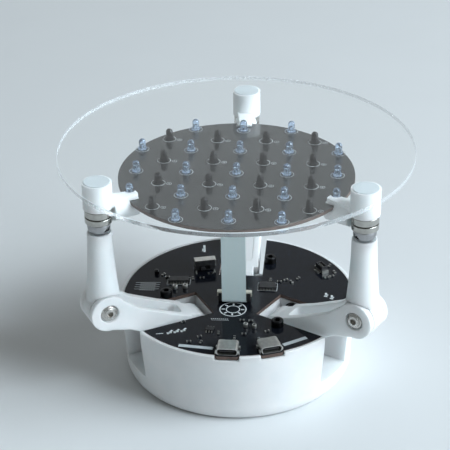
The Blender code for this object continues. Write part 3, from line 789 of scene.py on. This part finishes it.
def port_legs():
    """Mounting tabs and solder contacts of a port."""
    legs = new()
    for x in (PORT_BACK + 1.2, PORT_MOUTH - 2.4):
        for y in (-PORT_WIDE / 2 - 0.35, PORT_WIDE / 2 + 0.35):
            add_box(legs, (x, y - 0.3, PORT_LOW), (x + 1.4, y + 0.3, PORT_LOW + 1.1))
    for k in range(8):
        y = -2.8 + 0.8 * k
        add_box(legs, (PORT_BACK - 0.9, y - 0.17, PORT_LOW), (PORT_BACK + 0.1, y + 0.17, PORT_LOW + 0.25))
    return legs


def ports():
    """Sheet-metal port shells with a seam and a window on top, a tongue inside, and legs."""
    sheet, above = PORT_LOW + PORT_HIGH - 0.12, PORT_LOW + PORT_HIGH + 1
    for side, angle in USB_ANGLES.items():
        place = arm_frame(angle)
        port = loose(pill(0, PORT_BACK, PORT_MOUTH))
        hollow = pill(-PORT_WALL, PORT_BACK + 0.8, PORT_MOUTH + 1)
        seam = box((PORT_BACK - 1, -0.06, sheet), (PORT_MOUTH + 1, 0.06, above))
        window = rod(1.5, (PORT_BACK, 0, sheet), (PORT_BACK, 0, above))
        combine(port, ("-", hollow, None), ("-", seam, None), ("-", window, None))
        soften(port, 0.06, 2, 50)
        port.matrix_world = place
        finish(port, "port_shell_" + side, TIN, "base", "steel", "usb_port_" + side)
        tongue = box((PORT_BACK + 0.9, -3.1, PORT_MID - 0.35), (PORT_MOUTH - 0.7, 3.1, PORT_MID + 0.35))
        tongue = loose(tongue, place)
        soften(tongue, 0.12)
        finish(tongue, "port_tongue_" + side, BLACK, "base", "black_plastic")
        finish(loose(port_legs(), place), "port_legs_" + side, TIN, "base", "steel")


def on_board(x, y, angle, lift=0.0):
    """Frame of a part on the lower board, in metres."""
    turn = Matrix.Rotation(radians(angle), 4, "Z")
    return Matrix.Translation(Vector((x, y, BASE_TOP + lift)) * MM) @ turn


def chip(name, x, y, angle, size, pins):
    """Packaged circuit: chamfered body, a dimple and rows of bent pins on its long sides."""
    wide, deep, tall = size
    place = on_board(x, y, angle, 0.05)
    body = loose(box((-wide / 2, -deep / 2, 0.1), (wide / 2, deep / 2, tall)), place)
    corner = (0.8 - wide / 2, 0.8 - deep / 2)
    dimple = rod(0.32, (*corner, tall - 0.08), (*corner, tall + 1), 16)
    combine(body, ("-", dimple, place))
    soften(body, 0.12)
    finish(body, name + "_body", BLACK, "base", "black_plastic", name)
    pitch = (wide - 1.0) / (pins - 1)
    half, sheet = pitch * 0.22, 0.15        # half width and thickness of a pin
    knee = tall * 0.45
    # Straight lengths of a pin: from and to (away from the body), lowest and highest point
    lengths = ((0.0, 0.45, knee, knee + sheet), (0.45, 0.6, 0.02, knee + sheet), (0.6, 1.1, 0.02, 0.17))
    legs = new()
    for k in range(pins):
        along = 0.5 - wide / 2 + pitch * k
        for side in (-1, 1):
            for start, end, low_z, high_z in lengths:
                near, far = sorted((side * (deep / 2 + start), side * (deep / 2 + end)))
                add_box(legs, (along - half, near, low_z), (along + half, far, high_z))
    finish(loose(legs, place), name + "_pins", TIN, "base", "steel")


# x, y and angle of each small two-ended part
PASSIVES = (
    (-13.5, -36.5, 20), (-5.8, -33.2, 90), (20.4, 12.6, 30), (23.0, 11.0, 120), (17.6, 10.9, 0),
    (5.0, -33.5, 0), (-34.5, 14.4, 60), (-17.0, 12.5, 10), (-21.0, 12.0, 100), (3.4, -22.5, 0),
    (7.2, -22.9, 0), (-12.6, -40.8, 75), (-17.6, -40.6, 10), (14.6, -30.6, 25), (25.8, 14.2, 60),
    (13.6, 12.2, 90), (-32.4, 12.2, 0), (40.7, 17.1, 30), (41.8, 20.7, 110), (38.6, 15.6, 20),
    (39.4, 26.4, 70), (1.2, -36.4, 90), (11.6, -37.2, 110), (-21.6, -25.0, 30))


def passives():
    """Small two-ended parts: dark bodies between tinned ends."""
    bodies, ends = new(), new()
    for x, y, angle in PASSIVES:
        turn = spot(x, y, BASE_TOP + 0.03, angle)
        add_box(bodies, (-0.62, -0.5, 0), (0.62, 0.5, 0.62), turn)
        for near, far in ((-1.0, -0.6), (0.6, 1.0)):
            add_box(ends, (near, -0.52, 0), (far, 0.52, 0.66), turn)
    bodies = loose(bodies)
    soften(bodies, 0.05, 1)
    finish(bodies, "passive_bodies", BLACK, "base", "black_plastic")
    ends = loose(ends)
    soften(ends, 0.08)
    finish(ends, "passive_ends", TIN, "base", "steel")


CANS = ((-28.0, 2.6, 1.15), (-23.6, 3.4, 1.15), (5.3, -27.4, 1.0), (9.0, -28.2, 1.0))    # x, y, radius


def cans():
    """Round metal-rimmed parts with a dark centre."""
    rims, centres = new(), new()
    foot, top = BASE_TOP + 0.05, BASE_TOP + 2.0
    for x, y, radius in CANS:
        rim = rounded([(0, foot, 0), (radius, foot, 0.1), (radius, top, 0.25), (radius * 0.62, top, 0.08),
                       (radius * 0.6, top - 0.3, 0), (0, top - 0.3, 0)], False, 3)
        add_turned(rims, rim, (x, y))
        cap = [(0, top - 0.25), (radius * 0.5, top - 0.25), (radius * 0.5, top - 0.1), (0, top - 0.05)]
        add_turned(centres, cap, (x, y))
    finish(loose(rims), "can_rims", TIN, "base", "steel")
    finish(loose(centres), "can_centres", BLACK, "base", "black_plastic")


SWITCH_X, SWITCH_Y, SWITCH_TOP = 4.6, 2.1, 5.7      # half width, half depth, height
SWITCH_SHEET = 0.25


def switch_cover(place):
    """Sheet-metal cover over the top, back and ends of the slide switch."""
    roof = box((-SWITCH_X, 0.6 - SWITCH_Y, SWITCH_TOP - 0.3), (SWITCH_X, SWITCH_Y, SWITCH_TOP))
    cover = loose(roof, place)
    back = box((-SWITCH_X, SWITCH_Y - SWITCH_SHEET, 0.4), (SWITCH_X, SWITCH_Y, SWITCH_TOP - 0.2))
    side_top = SWITCH_TOP - 0.1
    right = box((SWITCH_X - SWITCH_SHEET, 0.4 - SWITCH_Y, 2.4), (SWITCH_X + 0.35, SWITCH_Y, side_top))
    left = box((-SWITCH_X, 1.2 - SWITCH_Y, 2.8), (SWITCH_SHEET - SWITCH_X, SWITCH_Y, side_top))
    combine(cover, ("+", back, place), ("+", right, place), ("+", left, place))
    soften(cover, 0.12)
    finish(cover, "switch_cover", TIN, "base", "steel")


def switch():
    """Metal-framed slide switch on its legs, and its knob."""
    place = on_board(-16.4, 20.0, 14.5)
    front, inner = -SWITCH_Y, SWITCH_X - SWITCH_SHEET
    body = loose(box((-inner, front, 1.2), (inner, SWITCH_Y - SWITCH_SHEET, SWITCH_TOP - 0.4)), place)
    slot = box((-2.6, front - 1, 1.4), (2.2, front + 1.8, 3.2))
    ledge = box((-inner, front - SWITCH_SHEET, 3.5), (inner, front + 0.5, 3.8))
    combine(body, ("-", slot, place), ("+", ledge, place))
    soften(body, 0.15)
    finish(body, "switch_body", BLACK, "base", "black_plastic", "power_switch_body")
    switch_cover(place)
    legs = new()
    for x in (-4.2, 4.0):
        add_box(legs, (x - 0.3, front - 0.2, 0.05), (x + 0.3, front + 0.15, 1.3))
        add_box(legs, (x - 0.3, front - 1.3, 0.05), (x + 0.3, front - 0.1, 0.3))
    for x in (1.2, 3.0):
        add_box(legs, (x - 0.5, front - 2.2, 0.05), (x + 0.5, front - 0.9, 0.35))
    finish(loose(legs, place), "switch_legs", TIN, "base", "steel")
    knob = loose(box((-2.25, front - 1.2, 1.6), (-0.3, front + 1.6, 3.0)), place)
    soften(knob, 0.2, 3)
    finish(knob, "switch_knob", BLACK, "switch_knob", "black_plastic", "power_switch_knob")


def header():
    """Small upright connector with its pins."""
    place = on_board(36.0, 22.5, -58.0)
    block = loose(box((-2.8, -1.5, 0.1), (2.8, 1.5, 3.2)), place)
    combine(block, ("-", box((-2.2, -0.9, 1.2), (2.2, 0.9, 4)), place))
    soften(block, 0.12)
    finish(block, "header_block", BLACK, "base", "black_plastic", "spare_header")
    pins = new()
    for k in range(4):
        x = -1.65 + 1.1 * k
        add_box(pins, (x - 0.16, -0.16, 1.25), (x + 0.16, 0.16, 2.9))
        add_box(pins, (x - 0.25, -2.9, 0.05), (x + 0.25, -1.55, 0.3))
        add_box(pins, (x - 0.25, -1.75, 0.05), (x + 0.25, -1.52, 1.1))
    for x in (-3.5, 2.9):
        add_box(pins, (x, -1.6, 0.05), (x + 0.6, 1.6, 1.3))
    finish(loose(pins, place), "header_pins", TIN, "base", "steel")


def status_lamp():
    """Small domed lamp."""
    foot, top, radius = BASE_TOP + 0.05, BASE_TOP + 2.05, 1.1
    profile = rounded([(0, foot, 0), (radius, foot, 0.1), (radius, top, 0.7), (0, top, 0)], False)
    lamp = loose(turned(profile, (-37.6, 15.6)))
    finish(lamp, "status_lamp_lens", DARK, "base", "black_plastic", "status_lamp")


def sockets():
    """Flat-cable sockets with their pale latches; the upper one hangs upside down."""
    for name, body_name, up in (("lower", "base", 1), ("upper", "platform", -1)):
        node = "ribbon_socket_" + name
        a, b = low(node), high(node)
        body = loose(box(a, b))
        slit_z = a.z + 0.8 if up > 0 else b.z - 1.9
        slit = box((a.x + 1.35, a.y - 1, slit_z - 0.45), (b.x - 1.35, a.y + 2.2, slit_z + 0.45))
        combine(body, ("-", slit, None))
        soften(body, 0.15)
        finish(body, "socket_" + name, BLACK, body_name, "black_plastic", node)
        face = b.z if up > 0 else a.z
        low_z, high_z = sorted((face + 0.02 * up, face + 0.75 * up))
        latch = loose(box((a.x - 0.5, a.y + 0.2, low_z), (b.x + 0.5, a.y + 2.2, high_z)))
        low_z, high_z = sorted((face - 1.6 * up, face + 0.3 * up))
        ears = [box((x, a.y + 0.5, low_z), (x + 0.45, a.y + 2.0, high_z)) for x in (a.x - 0.5, b.x + 0.05)]
        combine(latch, *(("+", ear, None) for ear in ears))
        soften(latch, 0.12)
        finish(latch, "socket_latch_" + name, CREAM, body_name, "white_plastic")


# ---------------- arms

# Profiles along a screw's axis: radius, height over the seat, rounding
CAP_SCREW = ((0, -8.4, 0), (1.3, -8.4, 0.2), (1.3, 0.0, 0), (2.6, 0.0, 0.1), (2.6, 2.8, 0.45), (0, 2.8, 0))
BUTTON_SCREW = ((0, -4.3, 0), (SCREW_R, -4.3, 0.2), (SCREW_R, 0, 0), (3.45, 0, 0.1), (3.45, 0.9, 0.3),
                (2.75, 1.15, 0.12), (2.6, 1.8, 0.35), (0, 1.95, 0))


def screw_at(place, start, direction, profile, segments, drive, drive_low):
    """Screw seated at a point, with a hexagonal recess in its head."""
    turn = Vector(direction).to_track_quat("Z", "Y").to_matrix().to_4x4()
    place = place @ Matrix.Translation(Vector(start) * MM) @ turn
    screw = loose(turned(rounded(profile, False), segments=segments), place)
    recess = rod(drive, (0, 0, drive_low), (0, 0, 4), 6)
    combine(screw, ("-", recess, place))
    return screw


def board_screws():
    """Black cap screws of the lower board."""
    for side, angle in ARMS.items():
        seat = (*BOARD_SCREW, BASE_TOP + 0.1)
        screw = screw_at(arm_frame(angle), seat, (0, 0, 1), CAP_SCREW, SMALL, 1.35, 1.3)
        soften(screw, 0.08, 1)
        finish(screw, "board_screw_black_" + side, BLACK_STEEL, "base", "black_steel", "board_screw_" + side)


def elbow_screws():
    """Steel button screws with a stepped head, one on each side of an elbow."""
    for side, angle in ARMS.items():
        place = arm_frame(angle, JOINT_R, ELBOW_Z)
        for label, sign in (("_a", 1), ("_b", -1)):
            screw = screw_at(place, (0, sign * 5.75, 0), (0, sign, 0), BUTTON_SCREW, 48, 1.5, 0.2)
            finish(screw, "elbow_button_" + side + label, STEEL, "upper_arm_" + side, "steel",
                   "elbow_screw_" + side + label, angle=25)


def link_outline():
    """Side outline of the lower link, its waist running into the elbow boss."""
    boss = [(x, z, 0.0) for x, z in arc((LINK_LENGTH, 0), ELBOW_R, -122, 122, 40)]
    hub = [(x, z, 0.0) for x, z in arc((0, 0), HUB_R, 66, 294, 30)]
    waist_top = [(31.0, 5.15, 9.0), (16.0, 5.5, 6.0)]
    waist_low = [(16.0, -5.5, 6.0), (31.0, -5.15, 9.0)]
    return rounded(boss + waist_top + hub + waist_low)


def lower_links():
    """Forked links from the servo hubs to the elbows."""
    upright = Matrix.Rotation(radians(90), 4, "X")
    tilt = Matrix.Rotation(-LINK_ANGLE, 4, "Y")
    out = FORK_HALF + 3
    fork = rounded([(8.5, -CHEEK_IN, 2.0), (70, -CHEEK_IN, 0), (70, CHEEK_IN, 0), (8.5, CHEEK_IN, 2.0)])
    for side, angle in ARMS.items():
        link = loose(plate(link_outline(), -FORK_HALF, FORK_HALF, upright))
        steps = []
        for sign in (-1, 1):
            near, far = sorted((sign * HUB_HALF, sign * out))
            steps.append(("-", box((-12, near, -12), (4.9, far, 12)), None))
        steps.append(("-", plate(fork, -15, 15), None))
        steps.append(("-", rod(PIN_R + 0.1, (0, -HUB_HALF - 2, 0), (0, -1.2, 0)), None))
        steps.append(("-", rod(SCREW_R + 0.15, (LINK_LENGTH, -out, 0), (LINK_LENGTH, out, 0)), None))
        for sign in (-1, 1):
            seat = rod(4.0, (LINK_LENGTH, sign * 5.6, 0), (LINK_LENGTH, sign * 12, 0), 48)
            steps.append(("-", seat, None))
        combine(link, *steps)
        soften(link, 0.45, 3)
        link.matrix_world = arm_frame(angle, SHOULDER_R, SHOULDER_Z) @ tilt
        finish(link, "fork_" + side, WHITE, "lower_arm_" + side, "white_plastic", "lower_link_" + side)


def column_steps():
    """Room for the fork, barrel, ball cup and screw hole of an upper link."""
    steps = []
    for sign in (-1, 1):
        room = rod(ELBOW_R + 0.5, (0, sign * BARREL_HALF, 0), (0, sign * 14, 0), MEDIUM)
        steps.append(("-", room, None))
    end = BARREL_HALF - 0.01
    steps.append(("+", rod(ELBOW_R, (0, -end, 0), (0, end, 0), MEDIUM), None))
    low_end, high_end = (0, 0, LINK_TOP - CUP_DEPTH), (0, 0, LINK_TOP + 0.5)
    steps.append(("-", rod(CUP_RIM_R - 0.8, low_end, high_end, MEDIUM, CUP_RIM_R + 0.12), None))
    steps.append(("-", rod(SCREW_R + 0.15, (0, -20, 0), (0, 20, 0)), None))
    return steps


def upper_links():
    """Tapered columns with a barrel foot and a cup for the ball."""
    foot, rim = 0.5, CUP_RIM_R + 0.42
    outline = rounded([(0, foot, 0), (7.05, foot, 0), (7.0, 7.0, 20.0), (6.3, 14.0, 60.0),
                       (5.5, LINK_TOP - 10, 60.0), (rim, LINK_TOP, 0.3), (0, LINK_TOP, 0)], False)
    for side, angle in ARMS.items():
        column = loose(turned(outline, segments=MEDIUM))
        combine(column, *column_steps())
        soften(column, 0.25, 2, 40)
        column.matrix_world = arm_frame(angle, JOINT_R, ELBOW_Z)
        finish(column, "column_" + side, WHITE, "upper_arm_" + side, "white_plastic", "upper_link_" + side)


CARRIERS = {"left": "ball_carrier_left", "right": "ball_carrier_right", "rear": "platform"}


def balls():
    """Polished balls."""
    for side, angle in ARMS.items():
        bm = new()
        bmesh.ops.create_uvsphere(bm, u_segments=MEDIUM, v_segments=40, radius=BALL_R)
        item = loose(bm, arm_frame(angle, JOINT_R, BALL_Z))
        finish(item, "steel_ball_" + side, CHROME, CARRIERS[side], "chrome", "ball_" + side, angle=180)


def magnets():
    """Stacked magnets that hold each ball, with rounded edges and a seat for the ball."""
    seat = Matrix.Translation((0, 0, BALL_Z))
    for side, angle in ARMS.items():
        for name, edge in (("seat_magnet_", 0.5), ("top_magnet_", 0.35)):
            node = name + side
            z0, z1 = low(node).z, high(node).z
            outline = [(0, z0, 0), (MAGNET_R, z0, edge), (MAGNET_R, z1, 0.35), (0, z1, 0)]
            ring = loose(turned(rounded(outline, False), segments=MEDIUM))
            room = new()
            bmesh.ops.create_uvsphere(room, u_segments=48, v_segments=32, radius=BALL_R + GAP, matrix=seat)
            combine(ring, ("-", room, None))
            ring.matrix_world = arm_frame(angle, JOINT_R)
            finish(ring, name + "ring_" + side, NICKEL, "platform", "nickel", node, angle=30)


def led_notches(angle):
    """Room in a bracket for the emitters beside it."""
    reach = 9.0                 # how near to the bracket's tongue an emitter has to be
    turn_back = Matrix.Rotation(radians(-angle), 4, "Z")
    steps = []
    for x, y in lattice(EMITTERS):
        place = turn_back @ Vector((x, y, 0))
        if hypot(place.x - 48, place.y) < reach:
            notch = rod(LED_FLANGE_R + 0.4, (*place.xy, SENSOR_TOP - 1), (*place.xy, SENSOR_TOP + 3))
            steps.append(("-", notch, None))
    return steps


def brackets():
    """Caps under the disc, each with a rib and a tongue that grip the sensor board."""
    outline = [(0, CAP_LOW), (CAP_R, CAP_LOW), (CAP_R, CAP_HIGH), (0, CAP_HIGH)]
    tip, bend, rib_z = 45.5, 54.5, 88.7
    tongue = rounded([(JOINT_R, -4.6, 0), (bend, -3.2, 4.0), (tip, -1.8, 0.8), (tip, 1.8, 0.8),
                      (bend, 3.2, 4.0), (JOINT_R, 4.6, 0)])
    room_low, room_high = SENSOR_LOW - GAP, SENSOR_TOP + GAP
    for side, angle in ARMS.items():
        cap = loose(turned(outline, (JOINT_R, 0), MEDIUM))
        rib = rod(4.9, (46.0, 0, rib_z), (JOINT_R - MAGNET_R - GAP, 0, rib_z), 48)
        room = rod(BOARD_R + GAP, (0, 0, room_low), (0, 0, room_high), FINE)
        grip = plate(tongue, CAP_LOW + 0.01, room_high + 1.5)
        steps = [("+", rib, None), ("+", grip, None), ("-", room, None)]
        combine(cap, *steps, *led_notches(angle))
        soften(cap, 0.4, 3)
        cap.matrix_world = arm_frame(angle)
        finish(cap, "cap_" + side, WHITE, "platform", "white_plastic", "bracket_" + side)


# ---------------- platform

def sensor_board():
    """Upper board."""
    board = loose(rod(BOARD_R, (0, 0, SENSOR_LOW), (0, 0, SENSOR_TOP), FINE))
    soften(board, 0.08, 1)
    finish(board, "sensor_board_plate", (UPPER_MASK, EDGE), "platform", "black_board", "sensor_board")
    paint_sides(board)


def led_profile():
    """Outer outline of a 3 mm part, from its foot to the top of its dome."""
    foot = SENSOR_TOP + 0.05
    top = SENSOR_TOP + LED_HEIGHT
    dome = arc((0, top - LED_R), LED_R, 0, 90, 8)
    return [(0, foot), (LED_FLANGE_R, foot), (LED_FLANGE_R, foot + 0.8), (LED_R, foot + 0.95)] + dome


def emitter_frames():
    """Two posts and the reflector cup inside each clear emitter."""
    frames = new()
    foot = SENSOR_TOP + 0.15
    post_top, cup_top = foot + 2.6, foot + 2.7
    cup = [(0, foot + 2.0), (0.35, foot + 2.1), (0.62, cup_top), (0.52, cup_top),
           (0.25, foot + 2.35), (0, foot + 2.35)]
    for x, y in lattice(EMITTERS):
        add_box(frames, (x - 0.75, y - 0.2, foot), (x - 0.35, y + 0.2, post_top))
        add_box(frames, (x + 0.3, y - 0.2, foot), (x + 0.7, y + 0.2, foot + 2.0))
        add_turned(frames, cup, (x - 0.1, y), 12)
    finish(loose(frames), "emitter_frames", TIN, "platform", "steel")


def leds():
    """Clear emitters with their lead frames inside, and dark receivers."""
    rows = (("emitters", EMITTERS, CLEAR, "clear_lens"), ("receivers", RECEIVERS, DARK, "dark_lens"))
    for name, count, look, slot in rows:
        bm = new()
        for place in lattice(count):
            add_turned(bm, led_profile(), place, 24)
        finish(loose(bm), name, look, "platform", slot, angle=30)
    emitter_frames()


def disc_pads():
    """Thin pads between the brackets and the disc."""
    pads = new()
    for angle in ARMS.values():
        x, y = JOINT_R * cos(radians(angle)), JOINT_R * sin(radians(angle))
        add_rod(pads, CAP_R - 0.75, (x, y, CAP_HIGH + 0.02), (x, y, DISC_LOW - 0.02), MEDIUM)
    finish(loose(pads), "disc_pads", PAD, "platform", "white_plastic")


def clear_disc():
    """Clear round sheet; the top of its rim carries a painted glow where it faces away from the window."""
    edge = 0.25
    outline = [(0, DISC_LOW, 0), (DISC_R, DISC_LOW, edge), (DISC_R, DISC_TOP, edge), (0, DISC_TOP, 0)]
    disc = loose(turned(rounded(outline, False, 2), segments=FINE * 2))
    looks = (ACRYLIC, PALE_EDGE, PAINTED_GLOW_EDGE)
    finish(disc, "disc", looks, "platform", "clear_acrylic", "clear_disc", angle=10)
    # rim faces that look away from the window get the painted glow, the others the plain satin edge
    flat = 0.99
    for face in disc.data.polygons:
        if abs(face.normal.z) < flat:
            away = face.normal.x < 0.25 * abs(face.normal.y) + 0.1
            face.material_index = 2 if away and face.normal.z > 0.1 else 1
    disc_pads()


RIBBON_X, RIBBON_HALF, RIBBON_Y, RIBBON_T = -1.0, 5.25, -9.5, 0.3


def ribbon_path():
    """Side view of the flat cable as (y, z): out of one socket, up with a slight bow, into the other."""
    front = -7.4
    low_z, high_z = BASE_TOP + 0.8, SENSOR_LOW - 2.0
    bend = abs(RIBBON_Y - front) - 0.4
    low_arc = arc((RIBBON_Y + bend, low_z + bend), bend, 270, 180, 10)
    high_arc = arc((RIBBON_Y + bend, high_z - bend), bend, 180, 90, 10)
    start, end = low_arc[-1], high_arc[0]
    run = []
    for i in range(1, 30):
        share = i / 30
        run.append((start[0] - 0.5 * sin(pi * share), start[1] + (end[1] - start[1]) * share))
    return [(front - 0.2, low_z)] + low_arc + run + high_arc + [(front - 0.2, high_z)]


def strip(path):
    """Strip of cable along part of the path."""
    columns = 20
    bm = new()
    rows = []
    for column in range(columns + 1):
        x = RIBBON_X - RIBBON_HALF + 2 * RIBBON_HALF * column / columns
        rows.append([bm.verts.new((x, y, z)) for y, z in path])
    for near, far in zip(rows, rows[1:]):
        for corners in zip(near, near[1:], far[1:], far):
            bm.faces.new(corners)
    piece = loose(bm)
    skin = piece.modifiers.new("thickness", "SOLIDIFY")
    skin.thickness = RIBBON_T * MM
    skin.offset = 0.0
    bpy.context.view_layer.update()
    bake(piece)
    return piece


def ribbon():
    """Flat cable in three lengths, cut from one bent path."""
    path = ribbon_path()
    cuts = (0, 21, 31, len(path) - 1)           # points of the path where the lengths meet
    for i, (first, last) in enumerate(zip(cuts, cuts[1:])):
        piece = strip(path[first:last + 1])
        finish(piece, "ribbon_" + str(i + 1), RIBBON, None, "ribbon_film", "ribbon_cable")
        piece.modifiers.clear()
        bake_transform(piece)


def carried_over():
    """Materials of the CAD nodes that are shown as they are."""
    looks = {"servo_screw_": STEEL, "servo_horn_": WHITE, "servo_": SERVO, "pivot_pin_": STEEL}
    for name, item in frame["nodes"].items():
        look = next((m for start, m in looks.items() if name.startswith(start)), None)
        if look is None:
            continue
        item.data.materials.clear()
        item.data.materials.append(look)
        bevel = item.modifiers.new("soften", "BEVEL")
        bevel.width = 0.15 * MM
        bevel.segments = 2
        bevel.limit_method = "ANGLE"
        bevel.angle_limit = radians(40)


# ---------------- studio

def floor():
    """Large plain floor."""
    bm = new()
    below = Matrix.Translation((0, 0, -0.05))
    bmesh.ops.create_grid(bm, x_segments=8, y_segments=8, size=6000, matrix=below)
    item = loose(bm, name="floor")
    item.data.materials.append(FLOOR)


def area_light(name, place, size, power, colour, target=(0, 0, 50)):
    """Soft rectangular light aimed at a point, lengths in millimetres."""
    data = bpy.data.lights.new(name, "AREA")
    data.shape = "RECTANGLE"
    data.size, data.size_y = size[0] * MM, size[1] * MM
    data.energy = power
    data.color = colour
    lamp = bpy.data.objects.new(name, data)
    lamp.location = Vector(place) * MM
    aim = Vector(target) - Vector(place)
    lamp.rotation_euler = aim.to_track_quat("-Z", "Y").to_euler()
    bpy.context.scene.collection.objects.link(lamp)


def lights():
    """Large cool window at the right, a dim wall of light far behind and a dim neutral room."""
    area_light("window", (1540, -330, 1050), (1560, 1560), 60.0, (0.82, 0.925, 1.0))
    area_light("far_wall", (0, 1300, 750), (2600, 1100), 4.2, (0.9, 0.96, 1.0), (0, 0, 750))
    world = bpy.data.worlds.new("studio")
    bpy.context.scene.world = world
    world.use_nodes = True
    sky = world.node_tree.nodes["Background"]
    sky.inputs["Color"].default_value = (0.95, 1.0, 0.98, 1.0)
    sky.inputs["Strength"].default_value = 0.19


def camera():
    """Camera in front of the table, a little to its right and above it."""
    azimuth, elevation, roll = radians(5.07), radians(28.35), radians(-0.95)
    distance, aim_right, aim_up = 703.0, -5.2, 67.5
    focal_pixels, picture = 1638.5, 450
    data = bpy.data.cameras.new("camera")
    data.sensor_width = 36.0
    data.lens = focal_pixels / picture * data.sensor_width
    data.clip_start, data.clip_end = 0.05, 20.0
    back = Vector((sin(azimuth) * cos(elevation), -cos(azimuth) * cos(elevation), sin(elevation)))
    right = Vector((cos(azimuth), sin(azimuth), 0))
    up = back.cross(right)
    across = right * cos(roll) + up * sin(roll)
    above = up * cos(roll) - right * sin(roll)
    place = Vector((0, 0, aim_up)) + right * aim_right + back * distance
    item = bpy.data.objects.new("camera", data)
    turn = Matrix((across, above, back)).transposed().to_4x4()
    item.matrix_world = Matrix.Translation(place * MM) @ turn
    bpy.context.scene.collection.objects.link(item)
    bpy.context.scene.camera = item


def build():
    """Make every piece, then the studio."""
    camera()
    base_shell()
    main_board()
    main_board_print()
    ports()
    chip("driver_chip", -27.0, 9.5, 4.0, (8.6, 3.9, 1.4), 12)
    chip("controller_chip", 12.6, 6.4, 0.0, (7.0, 5.0, 1.3), 10)
    chip("regulator_chip", -9.6, -30.5, -8.0, (3.4, 3.0, 0.9), 3)
    passives()
    cans()
    switch()
    header()
    status_lamp()
    sockets()
    board_screws()
    elbow_screws()
    lower_links()
    upper_links()
    balls()
    magnets()
    brackets()
    sensor_board()
    sensor_board_print()
    leds()
    clear_disc()
    ribbon()
    carried_over()
    floor()
    lights()
    bpy.context.scene.view_settings.view_transform = "Standard"


build()
